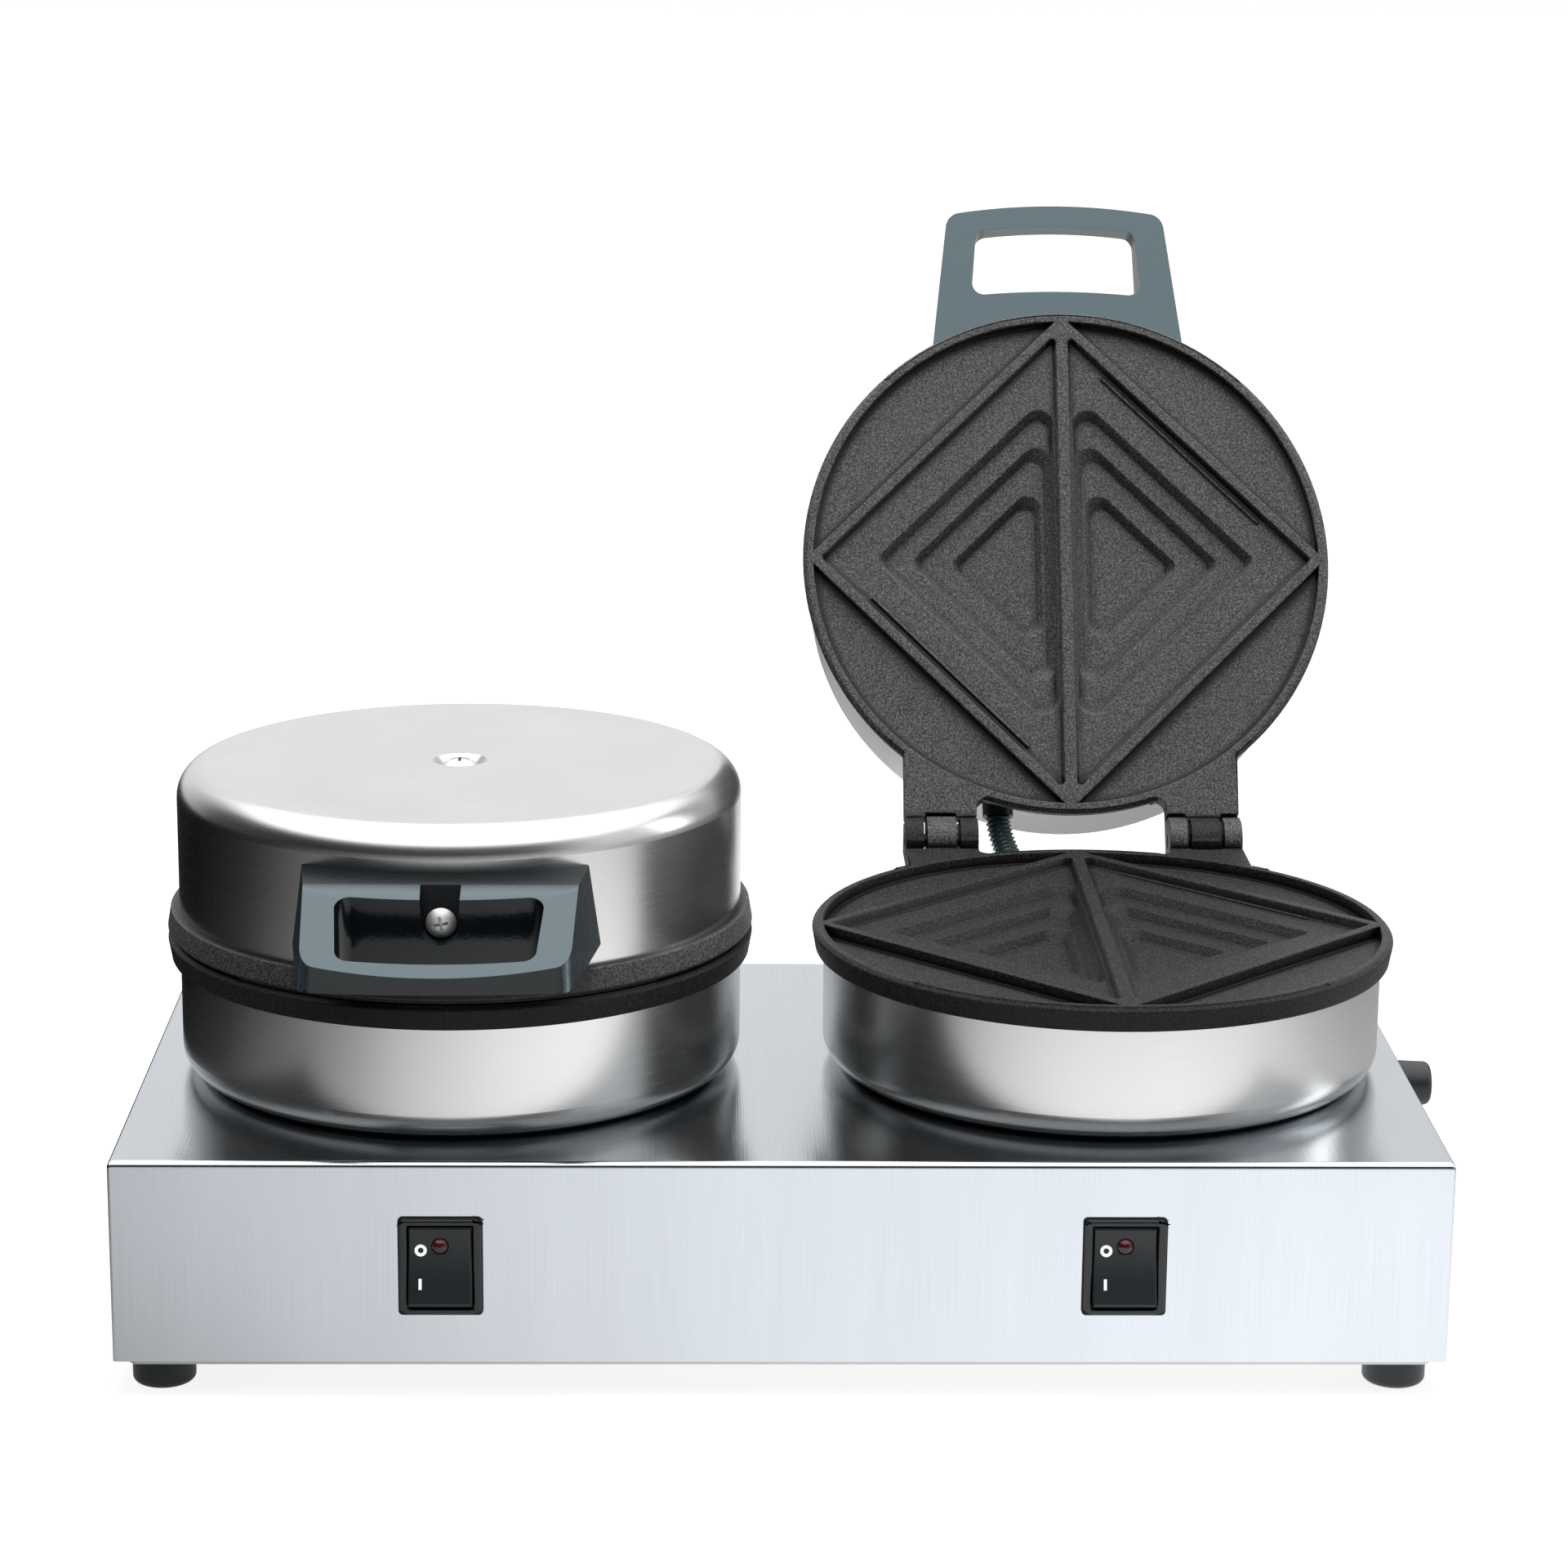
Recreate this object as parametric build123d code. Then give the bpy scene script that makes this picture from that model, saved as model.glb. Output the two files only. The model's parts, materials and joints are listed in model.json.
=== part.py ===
from build123d import *
import math
import os

# Twin sandwich-toasting contact grill: two hinged round cooking units on one steel base.
# Millimetres. X to the right, Y to the back, Z up. The shapes are worked out about the
# middle of the base on the floor, and FRAME_SHIFT then puts the origin on the floor in
# the middle of the space that the grill takes with its right lid open.

# Base: a folded stainless box on four rubber feet
BASE_W, BASE_D, BASE_H = 420.0, 220.0, 66.0
SHEET = 1.2
BASE_BOTTOM = 12.0
BASE_TOP = BASE_BOTTOM + BASE_H
FOLD_R = 2.0
CORNER_R = 1.0
LIP = 11.0
SIDE_LIP_REACH = 86.0
LIP_NOTCH = 5.0
FIXING_HOLE_R = 2.8
WIRE_HOLE_R, WIRE_HOLE_Y = 7.0, 36.0

# Base plate, with its vent slots, held by countersunk screws
PLATE_T = 1.5
PLATE_INSET = 1.6
VENT_L, VENT_W, VENT_PITCH, VENT_ROWS = 60.0, 4.0, 10.0, 7
LIP_SCREW_R, LIP_HEAD_R, LIP_SCREW_REACH = 1.7, 3.2, 6.0
LIP_SCREWS = [(x, y) for x in (-140.0, 0.0, 140.0) for y in (-103.5, 103.5)]

# Feet
FOOT_R, FOOT_H = 10.0, BASE_BOTTOM - PLATE_T
FOOT_X, FOOT_Y = 196.0, 94.0
FOOT_SCREW_R, SCREW_PLAY = 2.0, 0.3
FOOT_RECESS_R, FOOT_RECESS = 4.8, 6.0
FOOT_EDGE_R = 2.0
FOOT_HEAD_R, FOOT_HEAD_T = 3.9, 2.6
NUT_HALF, NUT_T = 3.5, 3.2
FEET = {
    "front_left_foot": (-FOOT_X, -FOOT_Y),
    "front_right_foot": (FOOT_X, -FOOT_Y),
    "rear_left_foot": (-FOOT_X, FOOT_Y),
    "rear_right_foot": (FOOT_X, FOOT_Y),
}

# Terminal block on the floor of the base
TERMINAL_W, TERMINAL_H = 48.0, 15.0
TERMINAL_FRONT, TERMINAL_BACK = 52.0, 70.0
TERMINAL_PITCH = 15.0

# Switches: standard double-pole rockers with a neon
SWITCH_X = 107.0
SWITCH_Z = BASE_TOP - 34.0
BEZEL_W, BEZEL_H, BEZEL_T = 26.5, 32.0, 2.0
SWITCH_BODY_W, SWITCH_BODY_H, SWITCH_BODY_D = 22.4, 28.8, 24.0
BLADE_W, BLADE_T, BLADE_L = 6.3, 0.8, 9.0
ROCKER_W, ROCKER_R = 20.0, 13.4
ROCKER_GAP = 0.3
ROCKER_PIVOT_Y = -BASE_D / 2 + 1.5
ROCKER_HALF_SWING = 10.0
ROCKER_PIN_R = 1.5
ROCKER_CORNER = 22.0
ROCKER_DISH = 1.4
LENS_R, LENS_UP, LENS_SINK = 2.5, 6.4, 1.2
LENS_SEAT_Y = -ROCKER_R * math.sin(math.radians(ROCKER_CORNER)) + ROCKER_DISH * 0.7 + LENS_SINK

# Cable gland in the right-hand wall
GLAND_Y, GLAND_Z = 23.0, BASE_TOP - 17.0
GLAND_OUT, GLAND_R, GLAND_BORE_R = 15.5, 7.5, 4.1
GLAND_THREAD_R, GLAND_IN = 6.0, 13.0
GLAND_FLANGE_R, GLAND_FLANGE_T = 9.0, 2.6
WASHER_R, WASHER_T = 10.6, 1.2
LOCKNUT_HALF, LOCKNUT_T = 8.5, 4.0

# Cooking units, whose middle stands a little to the right of the base's
UNIT_X, UNIT_OFFSET = 107.0, 1.2
UNITS = {"left": UNIT_OFFSET - UNIT_X, "right": UNIT_OFFSET + UNIT_X}
SHELL_R, SHELL_T = 93.0, 1.0
LOWER_SHELL_EDGE_R, UPPER_SHELL_EDGE_R = 9.0, 10.0
RIM_R, RIM_T = 97.0, 8.3
PARTING = BASE_TOP + 46.5
PLATE_GAP = 0.4
LID_TOP = BASE_TOP + 102.0
DIMPLE_R, DIMPLE_FLOOR_R, DIMPLE_DEPTH = 9.0, 6.4, 2.5

# Cooking plate casting, in its own frame: Z up out of the cooking face, zero at the parting surface
LIP_CHAMFER, RIM_DRAFT = 1.5, 1.2
BEAD_W = 4.0
BELLY_R, BELLY_Z = 86.0, -17.0
SPIGOT_R, SPIGOT_Z = 91.6, -12.0
RIDGE_HALF, RIDGE_AT = 1.8, 65.8
MID_RIDGE_HALF = 2.1
FIELD_Z, SEGMENT_Z = -3.0, -4.0
FIELD_TAPER, FIELD_CORNER_R = 18.0, 1.5
LINE_AT, LINE_W, LINE_H = 61.0, 1.2, 1.0
LINE_START, LINE_END = -40.0, 40.0
BOSS_R, BOSS_Z = 7.0, -25.0
SCREW_R, SCREW_TIP = 2.5, -9.0

# Each step of the stepped pockets, at its edge and at its floor: height, reach from the middle to the
# outer corner, distance of the straight side from the middle, radius of the tips and of the outer corner
PIT_STEPS = [
    ((-3.0, 70.5, 3.35, 5.8, 3.2), (-6.4, 67.1, 4.65, 4.6, 2.4)),
    ((-6.4, 57.5, 4.65, 5.4, 3.4), (-9.7, 54.2, 7.3, 4.2, 2.4)),
    ((-9.7, 42.7, 8.1, 5.2, 3.4), (-13.0, 39.4, 10.5, 3.8, 2.4)),
]

# Hinges behind each unit, one each side of the middle
HINGE_BEHIND_RIM = 10.4
HINGE_Y = RIM_R + HINGE_BEHIND_RIM
HINGE_Z = PARTING + PLATE_GAP / 2
LID_OPEN = 119.0
LUG_X0, LUG_X1 = 34.4, 60.6
LUG_FILLET = 4.0
KNUCKLE_R, KNUCKLE_GAP, KNUCKLE_END = 8.2, 1.1, 6.6
PIN_R, PIN_RUNNING, PIN_SHORT = 2.5, 0.06, 0.3
WEB_CLEAR = 9.0
HEEL_BACK, HEEL_TOP = 12.6, 3.35
GROOVE_FROM, GROOVE_TO, GROOVE_Z = 10.2, 8.4, -3.0
STEP_TOP = 2.8

# Heater lead conduit behind each unit
CONDUIT_X, CONDUIT_H = -25.4, 19.0
CONDUIT_R, CONDUIT_VALLEY_R, CONDUIT_BORE_R = 4.5, 3.9, 3.0
CONDUIT_STRAIGHT = 2 * CONDUIT_R
RIB_PITCH = 2.6
RIB_SHAPE = [(0.0, CONDUIT_VALLEY_R), (0.25, CONDUIT_R), (0.7, CONDUIT_R), (0.95, CONDUIT_VALLEY_R)]
COLLAR_FACE = SHELL_R + 0.5
COLLAR_R, SLEEVE_R, SLEEVE_START = 5.6, 5.0, 87.0

# Heaters and fixings inside
ELEMENT_R, ELEMENT_TUBE_R = 60.0, 3.3
ELEMENT_START, ELEMENT_ARC = 110.0, 320.0
COLD_END, ELEMENT_PIN_R, ELEMENT_PIN = 9.0, 1.2, 7.0
THERMOSTAT_Y, CAN_R, CAN_NECK_R = -32.0, 8.0, 6.5
CAN_FLANGE_T, CAN_T = 6.0, 11.0
BOLT_HALF, BOLT_HEAD_T = 4.0, 4.0
SCREW_GRIP = 11.0
LID_HEAD_R, LID_HEAD_RIM, LID_HEAD_T = 5.9, 1.0, 3.2

# Handle: a moulded wedge with a finger window, in distances out from the shell's front
HANDLE_ROOT_Z = BASE_TOP + 62.5
HANDLE_TOP_Z = BASE_TOP + 88.0
HANDLE_ROOF = 12.0
HANDLE_REACH = 54.5
HANDLE_BROW, HANDLE_BROW_Z = 51.5, BASE_TOP + 69.8
HANDLE_NOSE_Z = BASE_TOP + 65.3
HANDLE_HALF_W = 45.5
HANDLE_ARCH = 4.0
CHEEK_DRAFT, CHEEK_TAPER = 0.1294, 0.107
NOSE_LEAN = 0.667
NOSE_CORNER_R = 6.0
WINDOW_BACK, WINDOW_FRONT = 17.0, 44.0
WINDOW_BACK_HALF, WINDOW_FRONT_HALF = 32.3, 30.0
WINDOW_BOW, WINDOW_CORNER_R = 1.8, 4.5
HANDLE_SCREW_Z = BASE_TOP + 76.0
HANDLE_SCREW_R, HANDLE_SCREW_END = 2.0, 86.0
HANDLE_HEAD_R, HANDLE_HEAD_RIM, HANDLE_HEAD_T = 4.7, 0.9, 2.8
SLOT_TOP_HALF, SLOT_R = 6.7, 5.6
BACKING_HALF_W, BACKING_HALF_H, BACKING_T = 16.0, 8.0, 2.5

# Where the base's middle lies in the exported frame
FRAME_SHIFT = (-GLAND_OUT / 2, -51.1, 0.0)


def rod(radius, start, end):
    """A round bar of this radius from one point to another."""
    a, b = Vector(*start), Vector(*end)
    plane = Plane(origin=a, z_dir=b - a)
    return extrude(plane * Circle(radius), (b - a).length)


def block(low, high):
    """A box between two opposite corners."""
    size = [h - l for l, h in zip(low, high)]
    middle = [(h + l) / 2 for l, h in zip(low, high)]
    return Pos(*middle) * Box(*size)


def turned(points_and_arcs):
    """A solid of revolution about Z from a closed chain of profile edges."""
    return revolve(make_face(points_and_arcs), Axis.Z)


def profile(*points):
    """Straight profile edges through (radius, height) points."""
    return Polyline(*[(r, 0, z) for r, z in points])


def quarter(start, middle, end):
    return ThreePointArc(*[(r, 0, z) for r, z in (start, middle, end)])


def crown_arc(radius, rim, crown):
    """The profile of a domed head, from its rim to the top on the axis."""
    rise = crown - rim
    ball = (radius ** 2 + rise ** 2) / (2 * rise)
    a = math.asin(radius / ball) / 2
    return quarter((radius, rim), (ball * math.sin(a), crown - ball * (1 - math.cos(a))), (0, crown))


def corner_middle(cx, cz, radius, sign_x, sign_z):
    """The middle point of a quarter arc about (cx, cz)."""
    k = radius * math.sqrt(0.5)
    return cx + sign_x * k, cz + sign_z * k


# Base

def base_housing():
    half_w, half_d = BASE_W / 2, BASE_D / 2
    body = block((-half_w, -half_d, BASE_BOTTOM), (half_w, half_d, BASE_TOP))
    body = fillet(body.edges().filter_by(Axis.Z), CORNER_R)
    body = fillet(body.faces().sort_by(Axis.Z)[-1].edges(), FOLD_R)
    inner_w, inner_d = half_w - SHEET, half_d - SHEET
    body -= block((-inner_w, -inner_d, BASE_BOTTOM), (inner_w, inner_d, BASE_TOP - SHEET))
    lip_top = BASE_BOTTOM + SHEET
    for s in (-1, 1):
        y0, y1 = sorted((s * (half_d - SHEET), s * (half_d - LIP)))
        body += block((LIP_NOTCH - half_w, y0, BASE_BOTTOM), (half_w - LIP_NOTCH, y1, lip_top))
        x0, x1 = sorted((s * (half_w - SHEET), s * (half_w - LIP)))
        body += block((x0, -SIDE_LIP_REACH, BASE_BOTTOM), (x1, SIDE_LIP_REACH, lip_top))
        body -= block((s * SWITCH_X - SWITCH_BODY_W / 2, -half_d - 1, SWITCH_Z - SWITCH_BODY_H / 2),
                      (s * SWITCH_X + SWITCH_BODY_W / 2, -half_d + 3, SWITCH_Z + SWITCH_BODY_H / 2))
    for x in UNITS.values():
        body -= rod(FIXING_HOLE_R, (x, 0, BASE_TOP - 3), (x, 0, BASE_TOP + 1))
        body -= rod(WIRE_HOLE_R, (x, WIRE_HOLE_Y, BASE_TOP - 3), (x, WIRE_HOLE_Y, BASE_TOP + 1))
    body -= rod(GLAND_THREAD_R, (half_w - 3, GLAND_Y, GLAND_Z), (half_w + 1, GLAND_Y, GLAND_Z))
    for x, y in LIP_SCREWS:
        body -= rod(LIP_SCREW_R, (x, y, BASE_BOTTOM - 1), (x, y, BASE_BOTTOM + 3))
    return body


def base_plate():
    half_w, half_d = BASE_W / 2 - PLATE_INSET, BASE_D / 2 - PLATE_INSET
    plate = block((-half_w, -half_d, BASE_BOTTOM - PLATE_T), (half_w, half_d, BASE_BOTTOM))
    plate = chamfer(plate.edges().filter_by(Axis.Z), LIP_NOTCH)
    slot = Pos(0, 0, BASE_BOTTOM - PLATE_T) * extrude(SlotOverall(VENT_L, VENT_W), PLATE_T)
    for x in UNITS.values():
        for row in range(VENT_ROWS):
            plate -= Pos(x, (row - (VENT_ROWS - 1) / 2) * VENT_PITCH, 0) * slot
    for x, y in LIP_SCREWS:
        plate -= Pos(x, y, 0) * countersink(0.1)
    for x, y in FEET.values():
        plate -= rod(FOOT_SCREW_R + SCREW_PLAY, (x, y, BASE_BOTTOM - 3), (x, y, BASE_BOTTOM + 1))
    return plate


def countersink(play):
    """The cone of a countersunk head that lies flush in the base plate."""
    under = BASE_BOTTOM - PLATE_T
    return turned([profile((0, under), (LIP_HEAD_R + play, under), (LIP_SCREW_R + play, BASE_BOTTOM),
                           (0, BASE_BOTTOM), (0, under))])


def foot(x, y):
    k = FOOT_EDGE_R
    edges = [
        profile((FOOT_SCREW_R, FOOT_RECESS), (FOOT_RECESS_R, FOOT_RECESS), (FOOT_RECESS_R, 0), (FOOT_R - k, 0)),
        quarter((FOOT_R - k, 0), corner_middle(FOOT_R - k, k, k, 1, -1), (FOOT_R, k)),
        profile((FOOT_R, k), (FOOT_R, FOOT_H), (FOOT_SCREW_R, FOOT_H), (FOOT_SCREW_R, FOOT_RECESS)),
    ]
    return Pos(x, y, 0) * turned(edges)


def foot_screw(x, y):
    """Pan-head screw up through the foot and the base plate."""
    head = rod(FOOT_HEAD_R, (x, y, FOOT_RECESS - FOOT_HEAD_T), (x, y, FOOT_RECESS))
    head = chamfer(head.edges().sort_by(Axis.Z)[0], 0.8)
    return head + rod(FOOT_SCREW_R, (x, y, FOOT_RECESS), (x, y, BASE_BOTTOM + 5.0))


def foot_nut(x, y):
    nut = extrude(RegularPolygon(NUT_HALF, 6, major_radius=False) - Circle(FOOT_SCREW_R), NUT_T)
    return Pos(x, y, BASE_BOTTOM) * nut


def lip_screw(x, y):
    """Countersunk self-tapping screw that holds the base plate to the housing's lip."""
    under = BASE_BOTTOM - PLATE_T
    screw = countersink(0.0) + rod(LIP_SCREW_R, (0, 0, BASE_BOTTOM), (0, 0, BASE_BOTTOM + LIP_SCREW_REACH))
    for turn in (45, 135):
        screw -= Rot(0, 0, turn) * block((-1.8, -0.35, under - 1), (1.8, 0.35, under + 0.9))
    return Pos(x, y, 0) * screw


def terminal_block():
    """Three-way mains terminal block on the floor of the base."""
    front, back, top = TERMINAL_FRONT, TERMINAL_BACK, BASE_BOTTOM + TERMINAL_H
    body = block((-TERMINAL_W / 2, front, BASE_BOTTOM), (TERMINAL_W / 2, back, top))
    for x in (-TERMINAL_PITCH, 0.0, TERMINAL_PITCH):
        body -= rod(2.2, (x, front - 1, top - 8), (x, back + 1, top - 8))
        for y in (front + 5, back - 5):
            body -= rod(2.4, (x, y, top - 6), (x, y, top + 1))
    for x in (-TERMINAL_PITCH / 2, TERMINAL_PITCH / 2):
        body -= block((x - 0.8, front - 1, top - 7), (x + 0.8, back + 1, top + 1))
    return body


# Switches

def switch_bezel(x):
    front = -BASE_D / 2
    frame = block((-BEZEL_W / 2, front - BEZEL_T, -BEZEL_H / 2), (BEZEL_W / 2, front, BEZEL_H / 2))
    frame = fillet(frame.edges().filter_by(Axis.Y), 1.5)
    frame = chamfer(frame.faces().sort_by(Axis.Y)[0].edges(), 0.7)
    half_w, half_h = SWITCH_BODY_W / 2, SWITCH_BODY_H / 2
    back = front + SWITCH_BODY_D
    frame += block((-half_w, front, -half_h), (half_w, back, half_h))
    gap_w, gap_h = ROCKER_W / 2 + ROCKER_GAP, ROCKER_R + ROCKER_GAP
    frame -= block((-gap_w, front - 5, -gap_h), (gap_w, ROCKER_PIVOT_Y + 8.0, gap_h))
    reach = half_w + 1
    frame -= rod(ROCKER_PIN_R + PIN_RUNNING, (-reach, ROCKER_PIVOT_Y, 0), (reach, ROCKER_PIVOT_Y, 0))
    return Pos(x, 0, SWITCH_Z) * frame


def rocker_tilt(x, shape):
    """Tips a rocker piece about its pivot so that the O end is pressed, and puts it in place."""
    tipped = Rot(-ROCKER_HALF_SWING, 0, 0) * shape
    return Pos(x, ROCKER_PIVOT_Y, SWITCH_Z) * tipped


def rocker_point(angle, side):
    """A point on the rocker's round end, this many degrees forward of upright."""
    a = math.radians(angle)
    return 0, -ROCKER_R * math.sin(a), side * ROCKER_R * math.cos(a)


def rocker(x):
    front_y = rocker_point(ROCKER_CORNER, 1)[1]
    outline = [
        ThreePointArc(rocker_point(ROCKER_CORNER, 1), (0, front_y + ROCKER_DISH, 0),
                      rocker_point(ROCKER_CORNER, -1)),
        ThreePointArc(rocker_point(ROCKER_CORNER, -1), rocker_point(0, -1), rocker_point(-ROCKER_CORNER, -1)),
        Line(rocker_point(-ROCKER_CORNER, -1), rocker_point(-ROCKER_CORNER, 1)),
        ThreePointArc(rocker_point(-ROCKER_CORNER, 1), rocker_point(0, 1), rocker_point(ROCKER_CORNER, 1)),
    ]
    side = make_face(outline)
    body = Pos(-ROCKER_W / 2, 0, 0) * extrude(side, ROCKER_W, dir=(1, 0, 0))
    front_edges = body.edges().filter_by_position(Axis.Y, -20, front_y + ROCKER_DISH + 0.05)
    body = chamfer(front_edges, 0.5)
    reach = SWITCH_BODY_W / 2
    body += rod(ROCKER_PIN_R, (-reach, 0, 0), (reach, 0, 0))
    body -= rod(LENS_R, (0, front_y - 3, LENS_UP), (0, LENS_SEAT_Y, LENS_UP))
    return rocker_tilt(x, body)


def neon_lens(x):
    """Red domed lens let into the rocker's upper half."""
    rim, crown = LENS_SINK + 0.2, LENS_SINK + 1.5
    dome = turned([
        profile((0, crown), (0, 0), (LENS_R, 0), (LENS_R, rim)),
        crown_arc(LENS_R, rim, crown),
    ])
    return rocker_tilt(x, Pos(0, LENS_SEAT_Y, LENS_UP) * Rot(90, 0, 0) * dome)


def switch_terminals(x):
    """Four push-on blades on the back of a switch."""
    back = -BASE_D / 2 + SWITCH_BODY_D
    blades = []
    for dx in (-5.5, 5.5):
        for z in (-8.0, 8.0):
            blade = block((-BLADE_T / 2, back, -BLADE_W / 2), (BLADE_T / 2, back + BLADE_L, BLADE_W / 2))
            blades.append(Pos(x + dx, 0, SWITCH_Z + z) * blade)
    return blades


# Cable gland

def gland_body():
    wall = BASE_W / 2
    inner, tip = wall - GLAND_IN, wall + GLAND_OUT
    flange = wall + WASHER_T
    shoulder = flange + GLAND_FLANGE_T
    k = GLAND_R - 5.2
    edges = [
        profile((GLAND_BORE_R, inner), (GLAND_THREAD_R, inner), (GLAND_THREAD_R, flange),
                (GLAND_FLANGE_R, flange), (GLAND_FLANGE_R, shoulder), (GLAND_R + 0.4, shoulder),
                (GLAND_R, tip - k)),
        quarter((GLAND_R, tip - k), corner_middle(GLAND_R - k, tip - k, k, 1, 1), (GLAND_R - k, tip)),
        profile((GLAND_R - k, tip), (GLAND_BORE_R, tip), (GLAND_BORE_R, inner)),
    ]
    return gland_place(turned(edges))


def gland_place(shape):
    """Lays a piece turned about Z along the gland's own axis."""
    return Pos(0, GLAND_Y, GLAND_Z) * Rot(0, 90, 0) * shape


def gland_washer():
    ring = Pos(0, 0, BASE_W / 2) * extrude(Circle(WASHER_R) - Circle(GLAND_THREAD_R), WASHER_T)
    return gland_place(ring)


def gland_locknut():
    nut = extrude(RegularPolygon(LOCKNUT_HALF, 6, major_radius=False) - Circle(GLAND_THREAD_R), LOCKNUT_T)
    return gland_place(Pos(0, 0, BASE_W / 2 - SHEET - LOCKNUT_T) * nut)


# Cooking plate: one casting, used face up below and turned over about Y above


def corner_triangle(reach, inner, tip_r, corner_r):
    """Right-hand half of a square standing on its corner, cut off at a distance from the middle."""
    tip = reach - inner
    face = make_face(Polyline((inner, -tip), (reach, 0), (inner, tip), close=True))
    face = fillet(face.vertices().sort_by(Axis.X)[:2], tip_r)
    return fillet(face.vertices().sort_by(Axis.X)[-1], corner_r)


def pit_step(edge, floor):
    """One step of a pocket, lofted from its edge down to its smaller floor."""
    rings = []
    for z, *shape in (edge, floor):
        rings.append((Pos(0, 0, z) * corner_triangle(*shape)).face().outer_wire())
    return Solid.make_loft(rings, ruled=True)


def cooking_plate(hinge_hole_r):
    rim_bottom = -RIM_T
    body = turned([profile(
        (0, 0), (RIM_R - LIP_CHAMFER, 0), (RIM_R, -LIP_CHAMFER), (RIM_R - RIM_DRAFT, rim_bottom),
        (SPIGOT_R, rim_bottom), (SPIGOT_R, SPIGOT_Z), (BELLY_R, BELLY_Z), (0, BELLY_Z), (0, 0))])
    body += lugs(hinge_hole_r)
    body += rod(BOSS_R, (0, 0, BOSS_Z), (0, 0, BELLY_Z))
    segment = Circle(RIM_R - BEAD_W) - Pos(0, -100 + RIDGE_AT + RIDGE_HALF) * Rectangle(400, 200)
    segment_cut = extrude(segment, SEGMENT_Z)
    for quarter_turn in range(4):
        body -= Rot(0, 0, 45 + 90 * quarter_turn) * segment_cut
    field_reach = (RIDGE_AT - RIDGE_HALF) * math.sqrt(2)
    field = corner_triangle(field_reach, MID_RIDGE_HALF, FIELD_CORNER_R, FIELD_CORNER_R)
    cuts = extrude(field, -FIELD_Z, dir=(0, 0, -1), taper=FIELD_TAPER)
    for edge, floor in PIT_STEPS:
        cuts += pit_step(edge, floor)
    for side in (0, 180):
        body -= Rot(0, 0, side) * cuts
    for turn in (-45, 135):
        line = block((LINE_START, LINE_AT - LINE_W / 2, FIELD_Z - 1),
                     (LINE_END, LINE_AT + LINE_W / 2, FIELD_Z + LINE_H))
        body += Rot(0, 0, turn) * line
    body -= rod(SCREW_R, (0, 0, BOSS_Z - 1), (0, 0, SCREW_TIP))
    return body


def lugs(hole_r):
    """Hinge lugs: an outer pair of knuckles on the left and a middle knuckle on the right."""
    axis_z = PLATE_GAP / 2
    web_end = HINGE_Y - WEB_CLEAR
    plan = Circle(RIM_R - RIM_DRAFT)
    for s in (-1, 1):
        middle = s * (LUG_X0 + LUG_X1) / 2
        plan += Pos(middle, web_end / 2 + 20) * Rectangle(LUG_X1 - LUG_X0, web_end - 40)
    inner_corners = plan.vertices().filter_by_position(Axis.X, -LUG_X0 - 0.1, LUG_X0 + 0.1)
    inner_corners = inner_corners.filter_by_position(Axis.Y, 60, web_end - 1)
    plan = fillet(inner_corners, LUG_FILLET)
    plan -= Rectangle(400, 140)
    webs = Pos(0, 0, -RIM_T) * extrude(plan, RIM_T)
    webs -= Pos(0, 0, -50) * Box(400, 400, 100 - 2 * RIM_T)
    x0, x1 = LUG_X0 + KNUCKLE_END, LUG_X1 - KNUCKLE_END
    spans = [(-LUG_X1, -x1, True), (-x0, -LUG_X0, True), (x0 + KNUCKLE_GAP, x1 - KNUCKLE_GAP, False)]
    for low, high, heel in spans:
        knuckle = rod(KNUCKLE_R, (low, HINGE_Y, axis_z), (high, HINGE_Y, axis_z))
        knuckle += block((low, web_end, axis_z - KNUCKLE_R), (high, HINGE_Y, GROOVE_Z))
        knuckle += block((low, HINGE_Y - GROOVE_TO, GROOVE_Z), (high, HINGE_Y, STEP_TOP))
        if heel:
            knuckle += block((low, HINGE_Y, axis_z - KNUCKLE_R), (high, HINGE_Y + HEEL_BACK, axis_z + HEEL_TOP))
        webs += knuckle
        webs -= block((low, HINGE_Y - GROOVE_FROM, GROOVE_Z), (high, HINGE_Y - GROOVE_TO, 1))
    reach = LUG_X1 + 1
    return webs - rod(hole_r, (-reach, HINGE_Y, axis_z), (reach, HINGE_Y, axis_z))


def hinge_pins(x):
    """Two plain pins, pressed into the lower plate, which the upper plate turns on."""
    pins = []
    for s in (-1, 1):
        within, out = s * (LUG_X0 + PIN_SHORT), s * (LUG_X1 - PIN_SHORT)
        pins.append(rod(PIN_R, (x + within, HINGE_Y, HINGE_Z), (x + out, HINGE_Y, HINGE_Z)))
    return pins


# Shells

def lower_shell():
    r, t, k = SHELL_R, SHELL_T, LOWER_SHELL_EDGE_R
    z0, z1 = BASE_TOP, PARTING - RIM_T
    shell = turned([
        profile((0, z0), (r - k, z0)),
        quarter((r - k, z0), corner_middle(r - k, z0 + k, k, 1, -1), (r, z0 + k)),
        profile((r, z0 + k), (r, z1), (r - t, z1), (r - t, z0 + k)),
        quarter((r - t, z0 + k), corner_middle(r - k, z0 + k, k - t, 1, -1), (r - k, z0 + t)),
        profile((r - k, z0 + t), (0, z0 + t), (0, z0)),
    ])
    shell -= rod(FIXING_HOLE_R, (0, 0, z0 - 1), (0, 0, z0 + 3))
    shell -= rod(WIRE_HOLE_R, (0, WIRE_HOLE_Y, z0 - 1), (0, WIRE_HOLE_Y, z0 + 3))
    return shell - conduit_hole(HINGE_Z - CONDUIT_H)


def conduit_hole(z):
    return rod(SLEEVE_R, (CONDUIT_X, 80, z), (CONDUIT_X, 100, z))


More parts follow.
